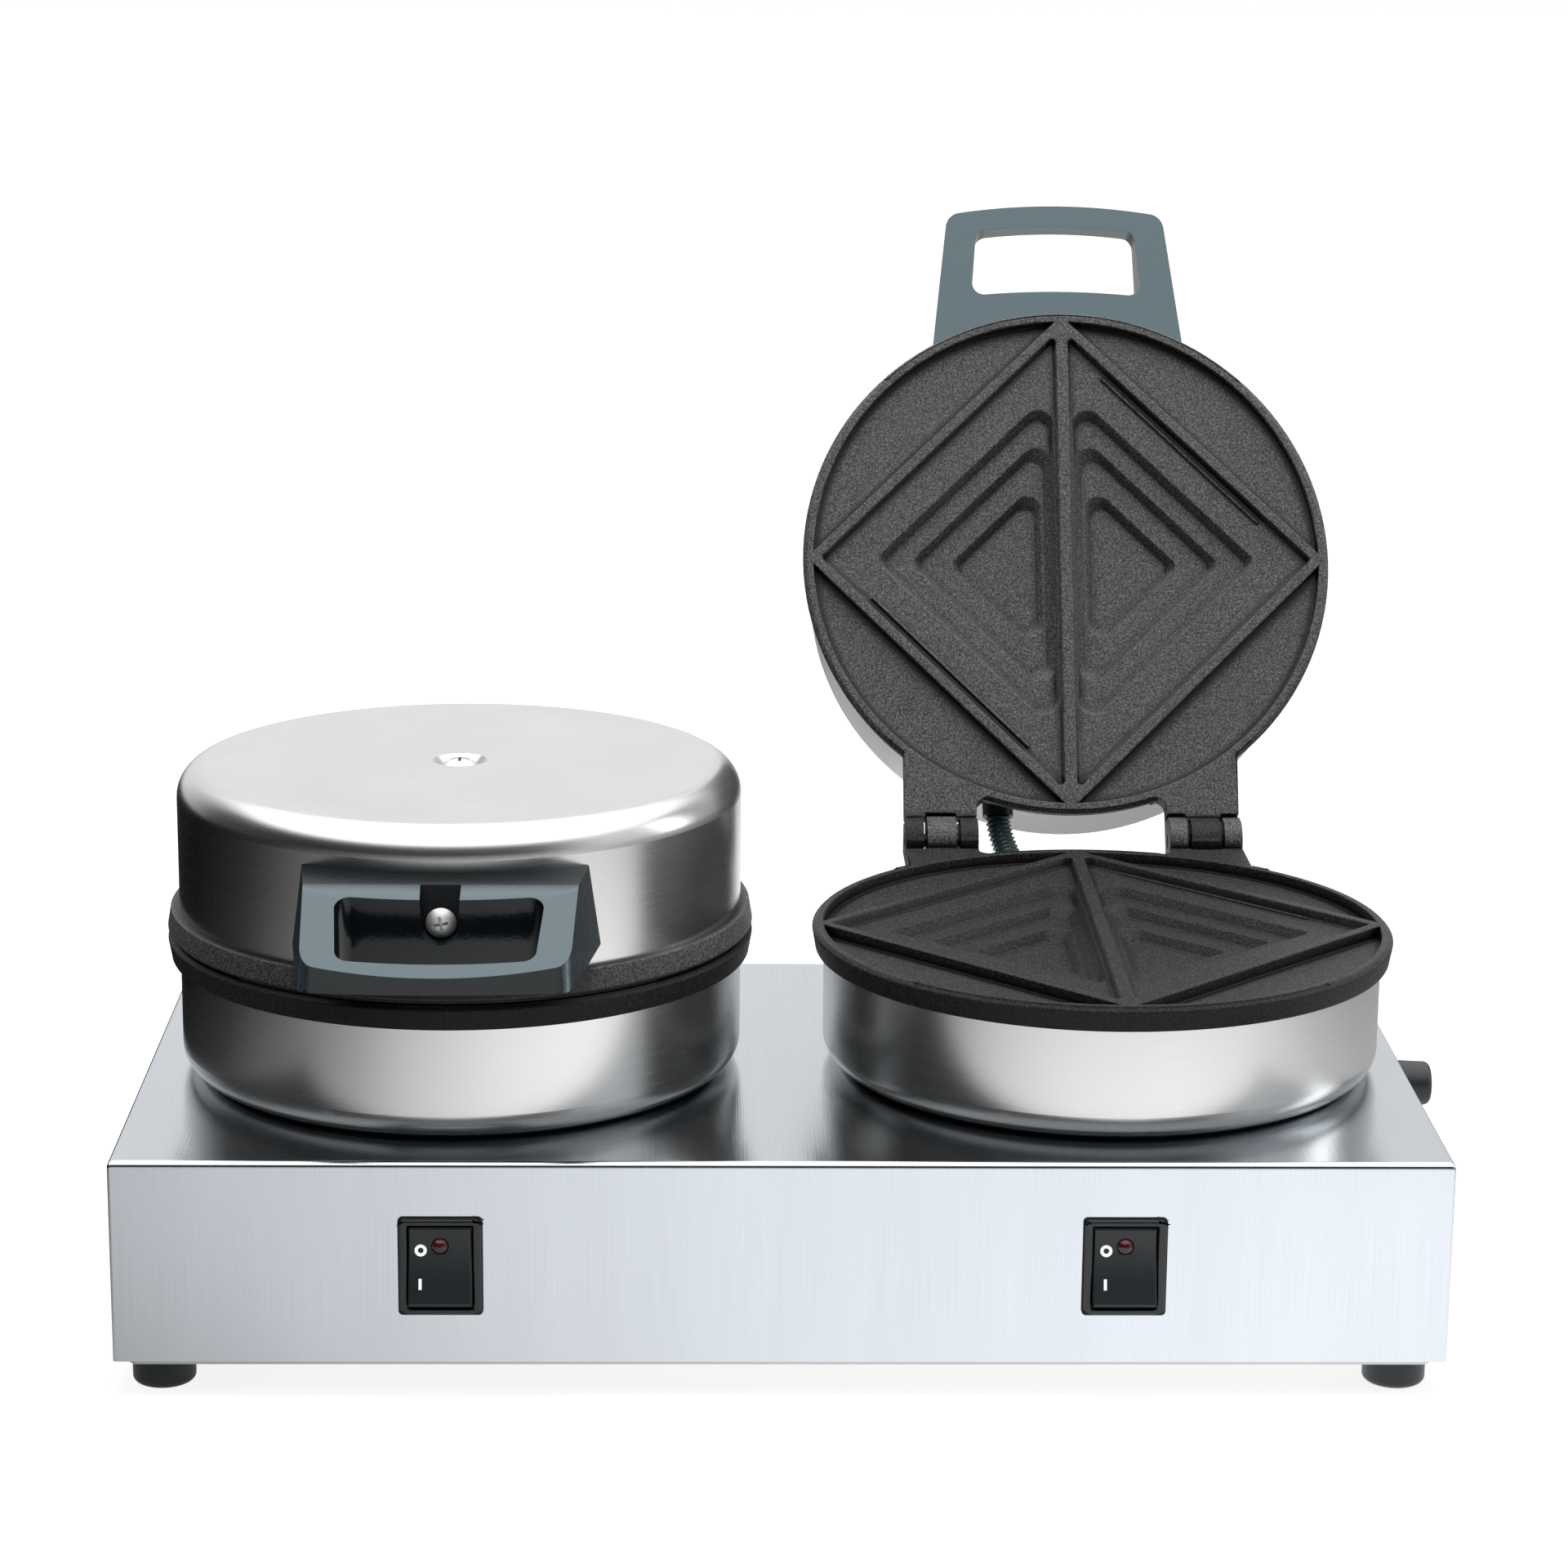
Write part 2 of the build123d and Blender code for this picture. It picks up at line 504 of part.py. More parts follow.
def upper_shell():
    r, t, k = SHELL_R, SHELL_T, UPPER_SHELL_EDGE_R
    z0, z1 = PARTING + PLATE_GAP + RIM_T, LID_TOP
    low = z1 - DIMPLE_DEPTH
    shell = turned([
        profile((FIXING_HOLE_R, low), (DIMPLE_FLOOR_R, low), (DIMPLE_R, z1), (r - k, z1)),
        quarter((r - k, z1), corner_middle(r - k, z1 - k, k, 1, 1), (r, z1 - k)),
        profile((r, z1 - k), (r, z0), (r - t, z0), (r - t, z1 - k)),
        quarter((r - t, z1 - k), corner_middle(r - k, z1 - k, k - t, 1, 1), (r - k, z1 - t)),
        profile((r - k, z1 - t), (DIMPLE_R + 0.4, z1 - t), (DIMPLE_FLOOR_R + 0.4, low - t),
                (FIXING_HOLE_R, low - t), (FIXING_HOLE_R, low)),
    ])
    shell -= rod(HANDLE_SCREW_R + 0.2, (0, -100, HANDLE_SCREW_Z), (0, -85, HANDLE_SCREW_Z))
    return shell - conduit_hole(HINGE_Z + CONDUIT_H)


def conduit_collar(z):
    """Bush in the shell's back wall that the conduit's end plugs onto, with a saddle seat."""
    collar = rod(COLLAR_R, (CONDUIT_X, 80, z), (CONDUIT_X, COLLAR_FACE, z))
    collar -= rod(SHELL_R, (0, 0, z - 20), (0, 0, z + 20))
    collar += rod(SLEEVE_R, (CONDUIT_X, SLEEVE_START, z), (CONDUIT_X, COLLAR_FACE, z))
    return collar - rod(CONDUIT_BORE_R, (CONDUIT_X, 80, z), (CONDUIT_X, 100, z))


# Heaters and fixings inside

def heating_element():
    """Sheathed ring element against a plate's back, with two cold ends and their pins."""
    face_z = BELLY_Z - ELEMENT_TUBE_R
    ring_face = Pos(ELEMENT_R, 0, face_z) * Rot(90, 0, 0) * Circle(ELEMENT_TUBE_R)
    ring = revolve(ring_face, Axis.Z, ELEMENT_ARC)
    ring = Rot(0, 0, ELEMENT_START) * ring
    pin_z = face_z - COLD_END
    for angle in (ELEMENT_START, ELEMENT_START + ELEMENT_ARC):
        a = math.radians(angle)
        x, y = ELEMENT_R * math.cos(a), ELEMENT_R * math.sin(a)
        ring += rod(ELEMENT_TUBE_R, (x, y, face_z), (x, y, pin_z))
        ring += rod(ELEMENT_PIN_R, (x, y, pin_z), (x, y, pin_z - ELEMENT_PIN))
    return ring


def thermostat():
    """Button thermostat held against the lower plate's back."""
    y, step, end = THERMOSTAT_Y, BELLY_Z - CAN_FLANGE_T, BELLY_Z - CAN_T
    can = rod(CAN_R, (0, y, step), (0, y, BELLY_Z))
    can += rod(CAN_NECK_R, (0, y, end), (0, y, step))
    for x in (-3.5, 3.5):
        can += block((x - BLADE_T / 2, y - BLADE_W / 2, end - 7.0),
                     (x + BLADE_T / 2, y + BLADE_W / 2, end + 0.5))
    return can


def lower_bolt():
    """Bolt from inside the base that holds the lower shell and plate down."""
    under = BASE_TOP - SHEET
    head = extrude(RegularPolygon(BOLT_HALF, 6, major_radius=False), BOLT_HEAD_T)
    return Pos(0, 0, under - BOLT_HEAD_T) * head + rod(SCREW_R, (0, 0, under), (0, 0, PARTING - SCREW_GRIP))


def lid_screw():
    """Cross-headed screw in the lid's dimple, down into the upper plate's boss."""
    seat = LID_TOP - DIMPLE_DEPTH
    rim, crown = seat + LID_HEAD_RIM, seat + LID_HEAD_T
    head = turned([
        profile((0, crown), (0, seat), (LID_HEAD_R, seat), (LID_HEAD_R, rim)),
        crown_arc(LID_HEAD_R, rim, crown),
    ])
    for turn in (0, 90):
        head -= Rot(0, 0, turn) * block((-2.9, -0.5, rim + 0.4), (2.9, 0.5, crown + 1))
    return head + rod(SCREW_R, (0, 0, seat), (0, 0, PARTING + PLATE_GAP + SCREW_GRIP))


# Handle

def handle_section(z):
    """The handle's plan outline at one height: planar cheeks and a nose bowed forward."""
    nose = HANDLE_REACH - NOSE_LEAN * (z - HANDLE_NOSE_Z)
    corner = nose - HANDLE_ARCH

    def half(out):
        return HANDLE_HALF_W - CHEEK_DRAFT * (z - HANDLE_ROOT_Z) - CHEEK_TAPER * (out - HANDLE_ROOF)

    inside = -14.0
    left, right = (-half(corner), -SHELL_R - corner, z), (half(corner), -SHELL_R - corner, z)
    back_left, back_right = (-half(inside), -SHELL_R - inside, z), (half(inside), -SHELL_R - inside, z)
    return Wire([
        Line(back_left, left).edge(),
        ThreePointArc(left, (0, -SHELL_R - nose, z), right).edge(),
        Line(right, back_right).edge(),
        Line(back_right, back_left).edge(),
    ])


def handle_blank():
    sections = [handle_section(HANDLE_ROOT_Z - 3), handle_section(HANDLE_TOP_Z + 3)]
    block_solid = Solid.make_loft(sections, ruled=True)
    nose_edges = ShapeList([e for e in block_solid.edges()
                            if abs(e.center().X) > 20 and e.center().Y < -SHELL_R - 25
                            and abs(e.position_at(0).Z - e.position_at(1).Z) > 5])
    blank = fillet(nose_edges, NOSE_CORNER_R)
    fall = (HANDLE_TOP_Z - HANDLE_BROW_Z) / (HANDLE_BROW - HANDLE_ROOF)
    rise = (HANDLE_NOSE_Z - HANDLE_ROOT_Z) / HANDLE_REACH
    far = 60.0
    side = [
        (20.0, HANDLE_TOP_Z), (-HANDLE_ROOF, HANDLE_TOP_Z), (-far, HANDLE_TOP_Z - fall * (far - HANDLE_ROOF)),
        (-far, HANDLE_ROOT_Z + rise * far), (20.0, HANDLE_ROOT_Z - rise * 20.0),
    ]
    outline = Plane.YZ * make_face(Polyline(*[(y - SHELL_R, z) for y, z in side], close=True))
    return blank & extrude(outline, 60, both=True)


def handle_window():
    """The finger window, a little narrower and bowed forward at the front."""
    y0, y1 = -SHELL_R - WINDOW_BACK, -SHELL_R - WINDOW_FRONT
    back_half, front_half, bow = WINDOW_BACK_HALF, WINDOW_FRONT_HALF, WINDOW_BOW
    face = make_face([
        ThreePointArc((-back_half, y0), (0, y0 - bow), (back_half, y0)),
        Line((back_half, y0), (front_half, y1)),
        ThreePointArc((front_half, y1), (0, y1 - bow), (-front_half, y1)),
        Line((-front_half, y1), (-back_half, y0)),
    ])
    face = fillet(face.vertices(), WINDOW_CORNER_R)
    return Pos(0, 0, HANDLE_ROOT_Z - 10) * extrude(face, 50)


def handle():
    body = handle_blank() - handle_window()
    z = HANDLE_SCREW_Z
    slot = make_face(Polyline((-SLOT_TOP_HALF, z + 20), (-SLOT_R, z), (SLOT_R, z), (SLOT_TOP_HALF, z + 20),
                              close=True))
    slot += Pos(0, z) * Circle(SLOT_R)
    cut = extrude(Plane.XZ * slot, 12.0)
    body -= Pos(0, -SHELL_R - HANDLE_ROOF, 0) * cut
    body -= rod(SHELL_R, (0, 0, z - 40), (0, 0, z + 40))
    return body - rod(HANDLE_SCREW_R + 0.2, (0, -SHELL_R - 30, z), (0, -80, z))


def handle_screw():
    z, seat = HANDLE_SCREW_Z, -SHELL_R - HANDLE_ROOF
    head = turned([
        profile((0, HANDLE_HEAD_T), (0, 0), (HANDLE_HEAD_R, 0), (HANDLE_HEAD_R, HANDLE_HEAD_RIM)),
        crown_arc(HANDLE_HEAD_R, HANDLE_HEAD_RIM, HANDLE_HEAD_T),
    ])
    for turn in (10, 100):
        head -= Rot(0, 0, turn) * block((-2.3, -0.45, 1.2), (2.3, 0.45, 5.0))
    return Pos(0, seat, z) * Rot(90, 0, 0) * head + rod(HANDLE_SCREW_R, (0, seat, z), (0, -HANDLE_SCREW_END, z))


def handle_backing():
    """Tapped backing plate curved to the inside of the shell."""
    inside = SHELL_R - SHELL_T
    z, half = HANDLE_SCREW_Z, BACKING_HALF_H
    ring = Pos(0, 0, z - half) * extrude(Circle(inside) - Circle(inside - BACKING_T), 2 * half)
    ring = ring & block((-BACKING_HALF_W, -100, z - 10), (BACKING_HALF_W, -80, z + 10))
    return ring - rod(HANDLE_SCREW_R, (0, -100, z), (0, -80, z))


# Conduit: ribbed flexible hose from the lower shell's back to the lid's back

def conduit_station(distance, opening):
    """Centre and heading of the hose this far along it, with the lid open by this many degrees."""
    half = math.radians(opening) / 2
    run_end = COLLAR_FACE + CONDUIT_STRAIGHT
    radius = CONDUIT_H + (HINGE_Y - run_end) * math.tan(half)
    turn = math.pi - 2 * half
    y, z, heading = COLLAR_FACE, HINGE_Z - CONDUIT_H, 0.0
    run = min(distance, CONDUIT_STRAIGHT)
    y += run
    rest = distance - run
    if rest > 0:
        heading = min(rest, radius * turn) / radius
        y += radius * math.sin(heading)
        z += radius * (1 - math.cos(heading))
        rest -= radius * heading
    if rest > 1e-9:
        y += rest * math.cos(heading)
        z += rest * math.sin(heading)
    return Plane(origin=(CONDUIT_X, y, z), x_dir=(1, 0, 0), z_dir=(0, math.cos(heading), math.sin(heading)))


def conduit_length(opening):
    half = math.radians(opening) / 2
    radius = CONDUIT_H + (HINGE_Y - COLLAR_FACE - CONDUIT_STRAIGHT) * math.tan(half)
    return 2 * CONDUIT_STRAIGHT + radius * (math.pi - 2 * half)


def conduit(opening):
    length = conduit_length(opening)
    ribs = round(length / RIB_PITCH)
    pitch = length / ribs
    rings = []
    for rib in range(ribs):
        for share, radius in RIB_SHAPE:
            rings.append(Wire.make_circle(radius, conduit_station((rib + share) * pitch, opening)))
    rings.append(Wire.make_circle(CONDUIT_VALLEY_R, conduit_station(length, opening)))
    hose = Solid.make_loft(rings, ruled=True)
    bore = [Wire.make_circle(CONDUIT_BORE_R, conduit_station(rib * pitch, opening)) for rib in range(ribs + 1)]
    print(f"conduit, lid at {opening:g} degrees: {length:.1f} long, {ribs} ribs")
    return hose - Solid.make_loft(bore, ruled=True)


# Assembly

def face_up(shape):
    """Puts a casting-frame piece in the lower half of a unit."""
    return Pos(0, 0, PARTING) * shape


def turned_over(shape):
    """Puts a casting-frame piece in the upper half: turned over about Y onto the parting surface."""
    return Pos(0, 0, PARTING + PLATE_GAP) * Rot(0, 180, 0) * shape


def unit_nodes(side, x, opening):
    """Every node of one cooking unit. The lid's own pieces are turned about the hinge."""
    plate_below = cooking_plate(PIN_R)
    plate_above = cooking_plate(PIN_R + PIN_RUNNING)
    base_side = {
        "lower_shell": lower_shell(),
        "lower_plate": face_up(plate_below),
        "lower_element": face_up(heating_element()),
        "thermostat": face_up(thermostat()),
        "lower_bolt": lower_bolt(),
        "lower_conduit_collar": conduit_collar(HINGE_Z - CONDUIT_H),
        "conduit": conduit(opening),
    }
    lid_side = {
        "upper_shell": upper_shell(),
        "upper_plate": turned_over(plate_above),
        "upper_element": turned_over(heating_element()),
        "lid_screw": lid_screw(),
        "handle": handle(),
        "handle_screw": handle_screw(),
        "handle_backing": handle_backing(),
        "upper_conduit_collar": conduit_collar(HINGE_Z + CONDUIT_H),
    }
    hinge = Axis((0, HINGE_Y, HINGE_Z), (1, 0, 0))
    nodes = {f"{side}_{name}": Pos(x, 0, 0) * shape for name, shape in base_side.items()}
    for name, shape in lid_side.items():
        if opening:
            shape = shape.rotate(hinge, -opening)
        nodes[f"{side}_{name}"] = Pos(x, 0, 0) * shape
    nodes[f"{side}_hinge_pins"] = hinge_pins(x)
    return nodes


def switch_nodes(side, x):
    return {
        f"{side}_switch_bezel": switch_bezel(x),
        f"{side}_switch_terminals": switch_terminals(x),
        f"{side}_rocker": rocker(x),
        f"{side}_neon_lens": neon_lens(x),
    }


def all_nodes():
    nodes = {
        "base_housing": base_housing(),
        "base_plate": base_plate(),
        "base_plate_screws": [lip_screw(x, y) for x, y in LIP_SCREWS],
        "foot_screws": [foot_screw(x, y) for x, y in FEET.values()],
        "foot_nuts": [foot_nut(x, y) for x, y in FEET.values()],
        "terminal_block": terminal_block(),
        "cable_gland": gland_body(),
        "gland_washer": gland_washer(),
        "gland_locknut": gland_locknut(),
    }
    nodes.update({name: foot(x, y) for name, (x, y) in FEET.items()})
    nodes.update(switch_nodes("left", -SWITCH_X))
    nodes.update(switch_nodes("right", SWITCH_X))
    nodes.update(unit_nodes("left", UNITS["left"], 0.0))
    nodes.update(unit_nodes("right", UNITS["right"], LID_OPEN))
    return nodes


os.makedirs("parts", exist_ok=True)
for name, shape in all_nodes().items():
    if isinstance(shape, list):
        shape = Compound(children=[Pos(*FRAME_SHIFT) * piece.solid() for piece in shape])
    else:
        shape = Pos(*FRAME_SHIFT) * shape
    export_step(shape, f"parts/{name}.step")
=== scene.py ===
# %% [markdown]
# # A twin contact grill, dressed for its portrait
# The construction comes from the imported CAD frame: every body, hinge and size is already right there.
# This script adds what a camera sees: rounded edges, brushed and drawn steel, cast plates with their
# speckled coating, moulded plastic, and the light of a small studio.

# %% Load the frame
import json
import math

import bpy
import bmesh
from mathutils import Matrix, Vector


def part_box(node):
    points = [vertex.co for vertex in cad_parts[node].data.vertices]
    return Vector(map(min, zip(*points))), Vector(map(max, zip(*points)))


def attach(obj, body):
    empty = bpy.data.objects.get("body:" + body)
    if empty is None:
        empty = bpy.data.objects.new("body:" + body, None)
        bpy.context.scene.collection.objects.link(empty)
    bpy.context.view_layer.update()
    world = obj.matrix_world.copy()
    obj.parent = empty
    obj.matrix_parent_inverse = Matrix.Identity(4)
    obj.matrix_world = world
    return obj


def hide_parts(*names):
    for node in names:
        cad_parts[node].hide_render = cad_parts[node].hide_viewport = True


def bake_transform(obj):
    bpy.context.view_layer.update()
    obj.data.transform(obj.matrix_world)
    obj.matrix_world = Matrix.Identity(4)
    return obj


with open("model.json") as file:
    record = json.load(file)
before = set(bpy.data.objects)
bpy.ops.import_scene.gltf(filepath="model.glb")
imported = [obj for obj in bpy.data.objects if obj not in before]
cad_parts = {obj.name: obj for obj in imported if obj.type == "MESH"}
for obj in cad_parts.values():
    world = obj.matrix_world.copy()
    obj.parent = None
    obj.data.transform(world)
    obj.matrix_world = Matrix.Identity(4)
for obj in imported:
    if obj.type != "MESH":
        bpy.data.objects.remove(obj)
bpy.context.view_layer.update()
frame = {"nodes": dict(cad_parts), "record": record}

nodes = frame["nodes"]
MM = 0.001

# %% [markdown]
# ## The camera
# The photograph is taken from in front, a little above the lids and a little left of the middle, with a
# long lens. Its place was worked out from the base's corners and the round rims, in millimetres from the
# middle of the base on the floor. The frame's own origin is elsewhere, so `place` turns one into the other.

# %% Places measured from the middle of the base
feet_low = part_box("front_left_foot")[0]
feet_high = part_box("rear_right_foot")[1]
BASE_MIDDLE = Vector(((feet_low.x + feet_high.x) / 2, (feet_low.y + feet_high.y) / 2, 0))


def place(x, y, z):
    """Millimetres from the middle of the base on the floor, as a point in the frame."""
    return BASE_MIDDLE + Vector((x, y, z)) * MM


UNITS_X, UNIT_OUT = 1.2, 107.0
UNIT_AT = {"left": UNITS_X - UNIT_OUT, "right": UNITS_X + UNIT_OUT}
LID_OPEN = math.radians(119)
HINGE = place(0, 107.4, 124.7)
print("the base's middle is at", tuple(round(c, 4) for c in BASE_MIDDLE))

# %% Camera
CAMERA_AT = place(-28.0, -1296.0, 492.7)
CAMERA_PITCH, CAMERA_YAW, CAMERA_ROLL = math.radians(13.891), math.radians(-1.3), math.radians(0.515)
LENS, SENSOR, FARTHEST = 92.44, 36.0, 20

camera_data = bpy.data.cameras.new("camera")
camera_data.lens = LENS
camera_data.sensor_width = SENSOR
camera_data.clip_end = FARTHEST
camera = bpy.data.objects.new("camera", camera_data)
bpy.context.scene.collection.objects.link(camera)
forward = Vector((-math.sin(CAMERA_YAW) * math.cos(CAMERA_PITCH),
                  math.cos(CAMERA_YAW) * math.cos(CAMERA_PITCH), -math.sin(CAMERA_PITCH)))
right = forward.cross(Vector((0, 0, 1))).normalized()
up = right.cross(forward)
rolled_right = right * math.cos(CAMERA_ROLL) + up * math.sin(CAMERA_ROLL)
rolled_up = up * math.cos(CAMERA_ROLL) - right * math.sin(CAMERA_ROLL)
camera.matrix_world = Matrix((rolled_right, rolled_up, -forward)).transposed().to_4x4()
camera.location = CAMERA_AT
bpy.context.scene.camera = camera
print("the camera stands", round((CAMERA_AT - place(0, 0, 100)).length, 2), "m away")

# %% [markdown]
# ## A way to write shader maths
# Node trees are easier to read as sums. `Socket` wraps one output, and its operators add Math nodes, so
# `1 - mask * 0.4` builds what it says. Colours go through `mix` and vectors through `at` and `parts`,
# because a Math node would turn them grey.

# %% Shader helpers
class Socket:
    """One output of a node, with arithmetic."""

    def __init__(self, shader, socket):
        self.shader, self.socket = shader, socket

    def math(self, operation, *others):
        return self.shader.node("Math", [self, *others], operation=operation)

    def __add__(self, other):
        return self.math("ADD", other)

    def __radd__(self, other):
        return self.math("ADD", other)

    def __sub__(self, other):
        return self.math("SUBTRACT", other)

    def __rsub__(self, other):
        return self.shader.node("Math", [other, self], operation="SUBTRACT")

    def __mul__(self, other):
        return self.math("MULTIPLY", other)

    def __rmul__(self, other):
        return self.math("MULTIPLY", other)

    def __truediv__(self, other):
        return self.math("DIVIDE", other)

    def __gt__(self, other):
        return self.math("GREATER_THAN", other)

    def absolute(self):
        return self.math("ABSOLUTE")


class Shader:
    """A material or world node tree, built by calls."""

    def __init__(self, owner):
        owner.use_nodes = True
        self.owner, self.tree = owner, owner.node_tree
        self.tree.nodes.clear()

    def node(self, kind, inputs=(), output=0, **settings):
        """Adds a node. Inputs are a list in socket order, or a dict by socket name or number."""
        made = self.tree.nodes.new("ShaderNode" + kind)
        stops = settings.pop("stops", None)
        for name, value in settings.items():
            setattr(made, name, value)
        if stops:
            elements = made.color_ramp.elements
            while len(elements) < len(stops):
                elements.new(0.5)
            for element, (position, level) in zip(elements, stops):
                element.position = position
                element.color = (level, level, level, 1)
        pairs = inputs.items() if isinstance(inputs, dict) else enumerate(inputs)
        for key, value in pairs:
            self.join(made.inputs[key], value)
        return Socket(self, made.outputs[output])

    def join(self, target, value):
        if isinstance(value, Socket):
            self.tree.links.new(value.socket, target)
        elif value is not None:
            target.default_value = value

    def mix(self, share, a, b):
        """Between two colours."""
        made = self.tree.nodes.new("ShaderNodeMix")
        made.data_type = "RGBA"
        for target, value in zip((made.inputs[0], made.inputs[6], made.inputs[7]), (share, a, b)):
            self.join(target, value)
        return Socket(self, made.outputs[2])

    def parts(self, vector):
        """The x, y and z of a vector."""
        made = self.tree.nodes.new("ShaderNodeSeparateXYZ")
        self.join(made.inputs[0], vector)
        return [Socket(self, out) for out in made.outputs]

    def at(self, x, y, z):
        return self.node("CombineXYZ", [x, y, z])

    def place(self):
        """Where the surface is, in metres in the frame."""
        return self.node("TexCoord", output=3)

    def noise(self, where, scale, detail=2.0, roughness=0.5):
        settings = {"Vector": where, "Scale": scale, "Detail": detail, "Roughness": roughness}
        return self.node("TexNoise", settings)

    def ease(self, value, low, high, at_low=0.0, at_high=1.0):
        """A smooth step from one level to another."""
        ends = {0: value, 1: low, 2: high, 3: at_low, 4: at_high}
        return self.node("MapRange", ends, interpolation_type="SMOOTHSTEP")

    def shares(self, share, first, second):
        """Between two shaders."""
        return self.node("MixShader", [share, first, second])


def rgb(*colour):
    return (*colour, 1.0)


def shade(colour, by):
    return rgb(*[min(1.0, c * by) for c in colour])


def finish_of(name, build, **fixed):
    """A Principled material. `build` returns what varies, and `fixed` holds the plain numbers."""
    material = bpy.data.materials.new(name)
    shader = Shader(material)
    varied = build(shader)
    bsdf = shader.tree.nodes.new("ShaderNodeBsdfPrincipled")
    for key, value in {**fixed, **varied}.items():
        shader.join(bsdf.inputs[key.replace("_", " ")], value)
    out = shader.tree.nodes.new("ShaderNodeOutputMaterial")
    shader.tree.links.new(bsdf.outputs[0], out.inputs[0])
    return material


# %% [markdown]
# ## The studio
# Steel shows what stands round it, so the surroundings matter more than the lamps. A vertical wall of this
# grill mirrors the paper on the floor, which is bright in front and to the right and falls away to black on
# the left: that gives the drawn cups their dark left side. A level face mirrors the backdrop behind, which
# is bright, and the rounded shoulders mirror a bright ceiling. The room in front, above the table, is dark.
# What one mirror shows in another is dimmed, so the cups stand dark in the base. The camera itself only
# sees white paper.

# %% The room, as a reflection sees it
FLOOR_ROUND = [(-180, 1.0), (-158, 0.7), (-148, 0.01), (-95, 0.0), (-66, 0.04), (-46, 0.26), (-31, 0.57),
               (-20, 0.95), (0, 1.35), (22, 1.55), (40, 1.4), (58, 0.8), (75, 0.55), (94, 0.45),
               (121, 0.4), (140, 0.7), (150, 1.5), (180, 1.2)]
ROOM_ROUND = [(-180, 1.0), (-150, 0.9), (-115, 0.06), (-60, 0.02), (0, 0.03), (35, 0.06), (62, 0.9),
              (85, 0.7), (110, 0.25), (145, 0.8), (180, 1.0)]
CAMERA_RAY, DIFFUSE_RAY, GLOSSY_DEPTH = 0, 2, 9
# The glossy bounces of a direct view: the world is reached one bounce later than a surface
FROM_ROOM, FROM_FLOOR, LEFT_OVER = 2, 1, 0.2
CEILING_FROM, CEILING_TO, CEILING_LEVEL = 0.52, 0.78, 2.6
ROOM_FILL, CEILING_FILL = 0.02, 0.25
WHITE = (1, 1, 1, 1)


def seen_once(s, deepest):
    """1 where a mirror shows the studio directly, and less where it shows it in another mirror."""
    return 1 - (s.node("LightPath", output=GLOSSY_DEPTH) > deepest + 0.5) * (1 - LEFT_OVER)


def level_round(s, x, y, levels):
    """Brightness by compass direction: 0 in front, 90 to the right and 180 behind."""
    share = s.node("Math", [x, y * -1.0], operation="ARCTAN2") / (2 * math.pi) + 0.5
    stops = [((angle + 180) / 360, level / 2) for angle, level in levels]
    return s.node("ValToRGB", [share], stops=stops) * 2.0


def studio_world():
    world = bpy.data.worlds.new("studio")
    bpy.context.scene.world = world
    s = Shader(world)
    x, y, z = s.parts(s.node("TexCoord", output=0))
    ceiling = s.ease(z, CEILING_FROM, CEILING_TO)
    above = ceiling * seen_once(s, FROM_ROOM) * CEILING_LEVEL
    mirrored = level_round(s, x, y, ROOM_ROUND) * (1 - ceiling) + above
    lit = ROOM_FILL + ceiling * CEILING_FILL
    seen, diffuse = s.node("LightPath", output=CAMERA_RAY), s.node("LightPath", output=DIFFUSE_RAY)
    strength = (mirrored * (1 - diffuse) + lit * diffuse) * (1 - seen) + seen
    background = s.node("Background", [WHITE, strength])
    out = s.tree.nodes.new("ShaderNodeOutputWorld")
    s.tree.links.new(background.socket, out.inputs[0])


bpy.context.scene.view_settings.view_transform = "Standard"
studio_world()


# %% Lamps
AIMED_AT = (0, 0, 0.1)


def soft_box(name, size, at, towards, watts):
    lamp = bpy.data.lights.new(name, "AREA")
    lamp.shape, lamp.size, lamp.size_y, lamp.energy = "RECTANGLE", size[0], size[1], watts
    holder = bpy.data.objects.new(name, lamp)
    bpy.context.scene.collection.objects.link(holder)
    holder.location = at
    holder.rotation_mode = "QUATERNION"
    holder.rotation_quaternion = (Vector(towards) - Vector(at)).to_track_quat("-Z", "Y")
    return holder


overhead_box = soft_box("overhead_box", (0.8, 0.5), at=(0.15, -0.1, 1.5), towards=AIMED_AT, watts=11)
overhead_box.visible_glossy = False
soft_box("right_box", (0.35, 0.8), at=(1.3, 0.1, 0.55), towards=AIMED_AT, watts=2.5)


# %% Paper sweep
FLOOR_CENTRE_Y, POOL_FROM, POOL_TO, POOL_EDGE = 0.2, 0.4, 0.8, 0.55
FLOOR_FILL, PAPER_GREY, PAPER_GLOW = 0.015, (0.5, 0.5, 0.5, 1), 0.87
SWEEP_SIZE, SWEEP_AT = 12, (0, 2, 0)


def everything_deselected():
    if bpy.context.object and bpy.context.object.mode != "OBJECT":
        bpy.ops.object.mode_set(mode="OBJECT")
    bpy.ops.object.select_all(action="DESELECT")


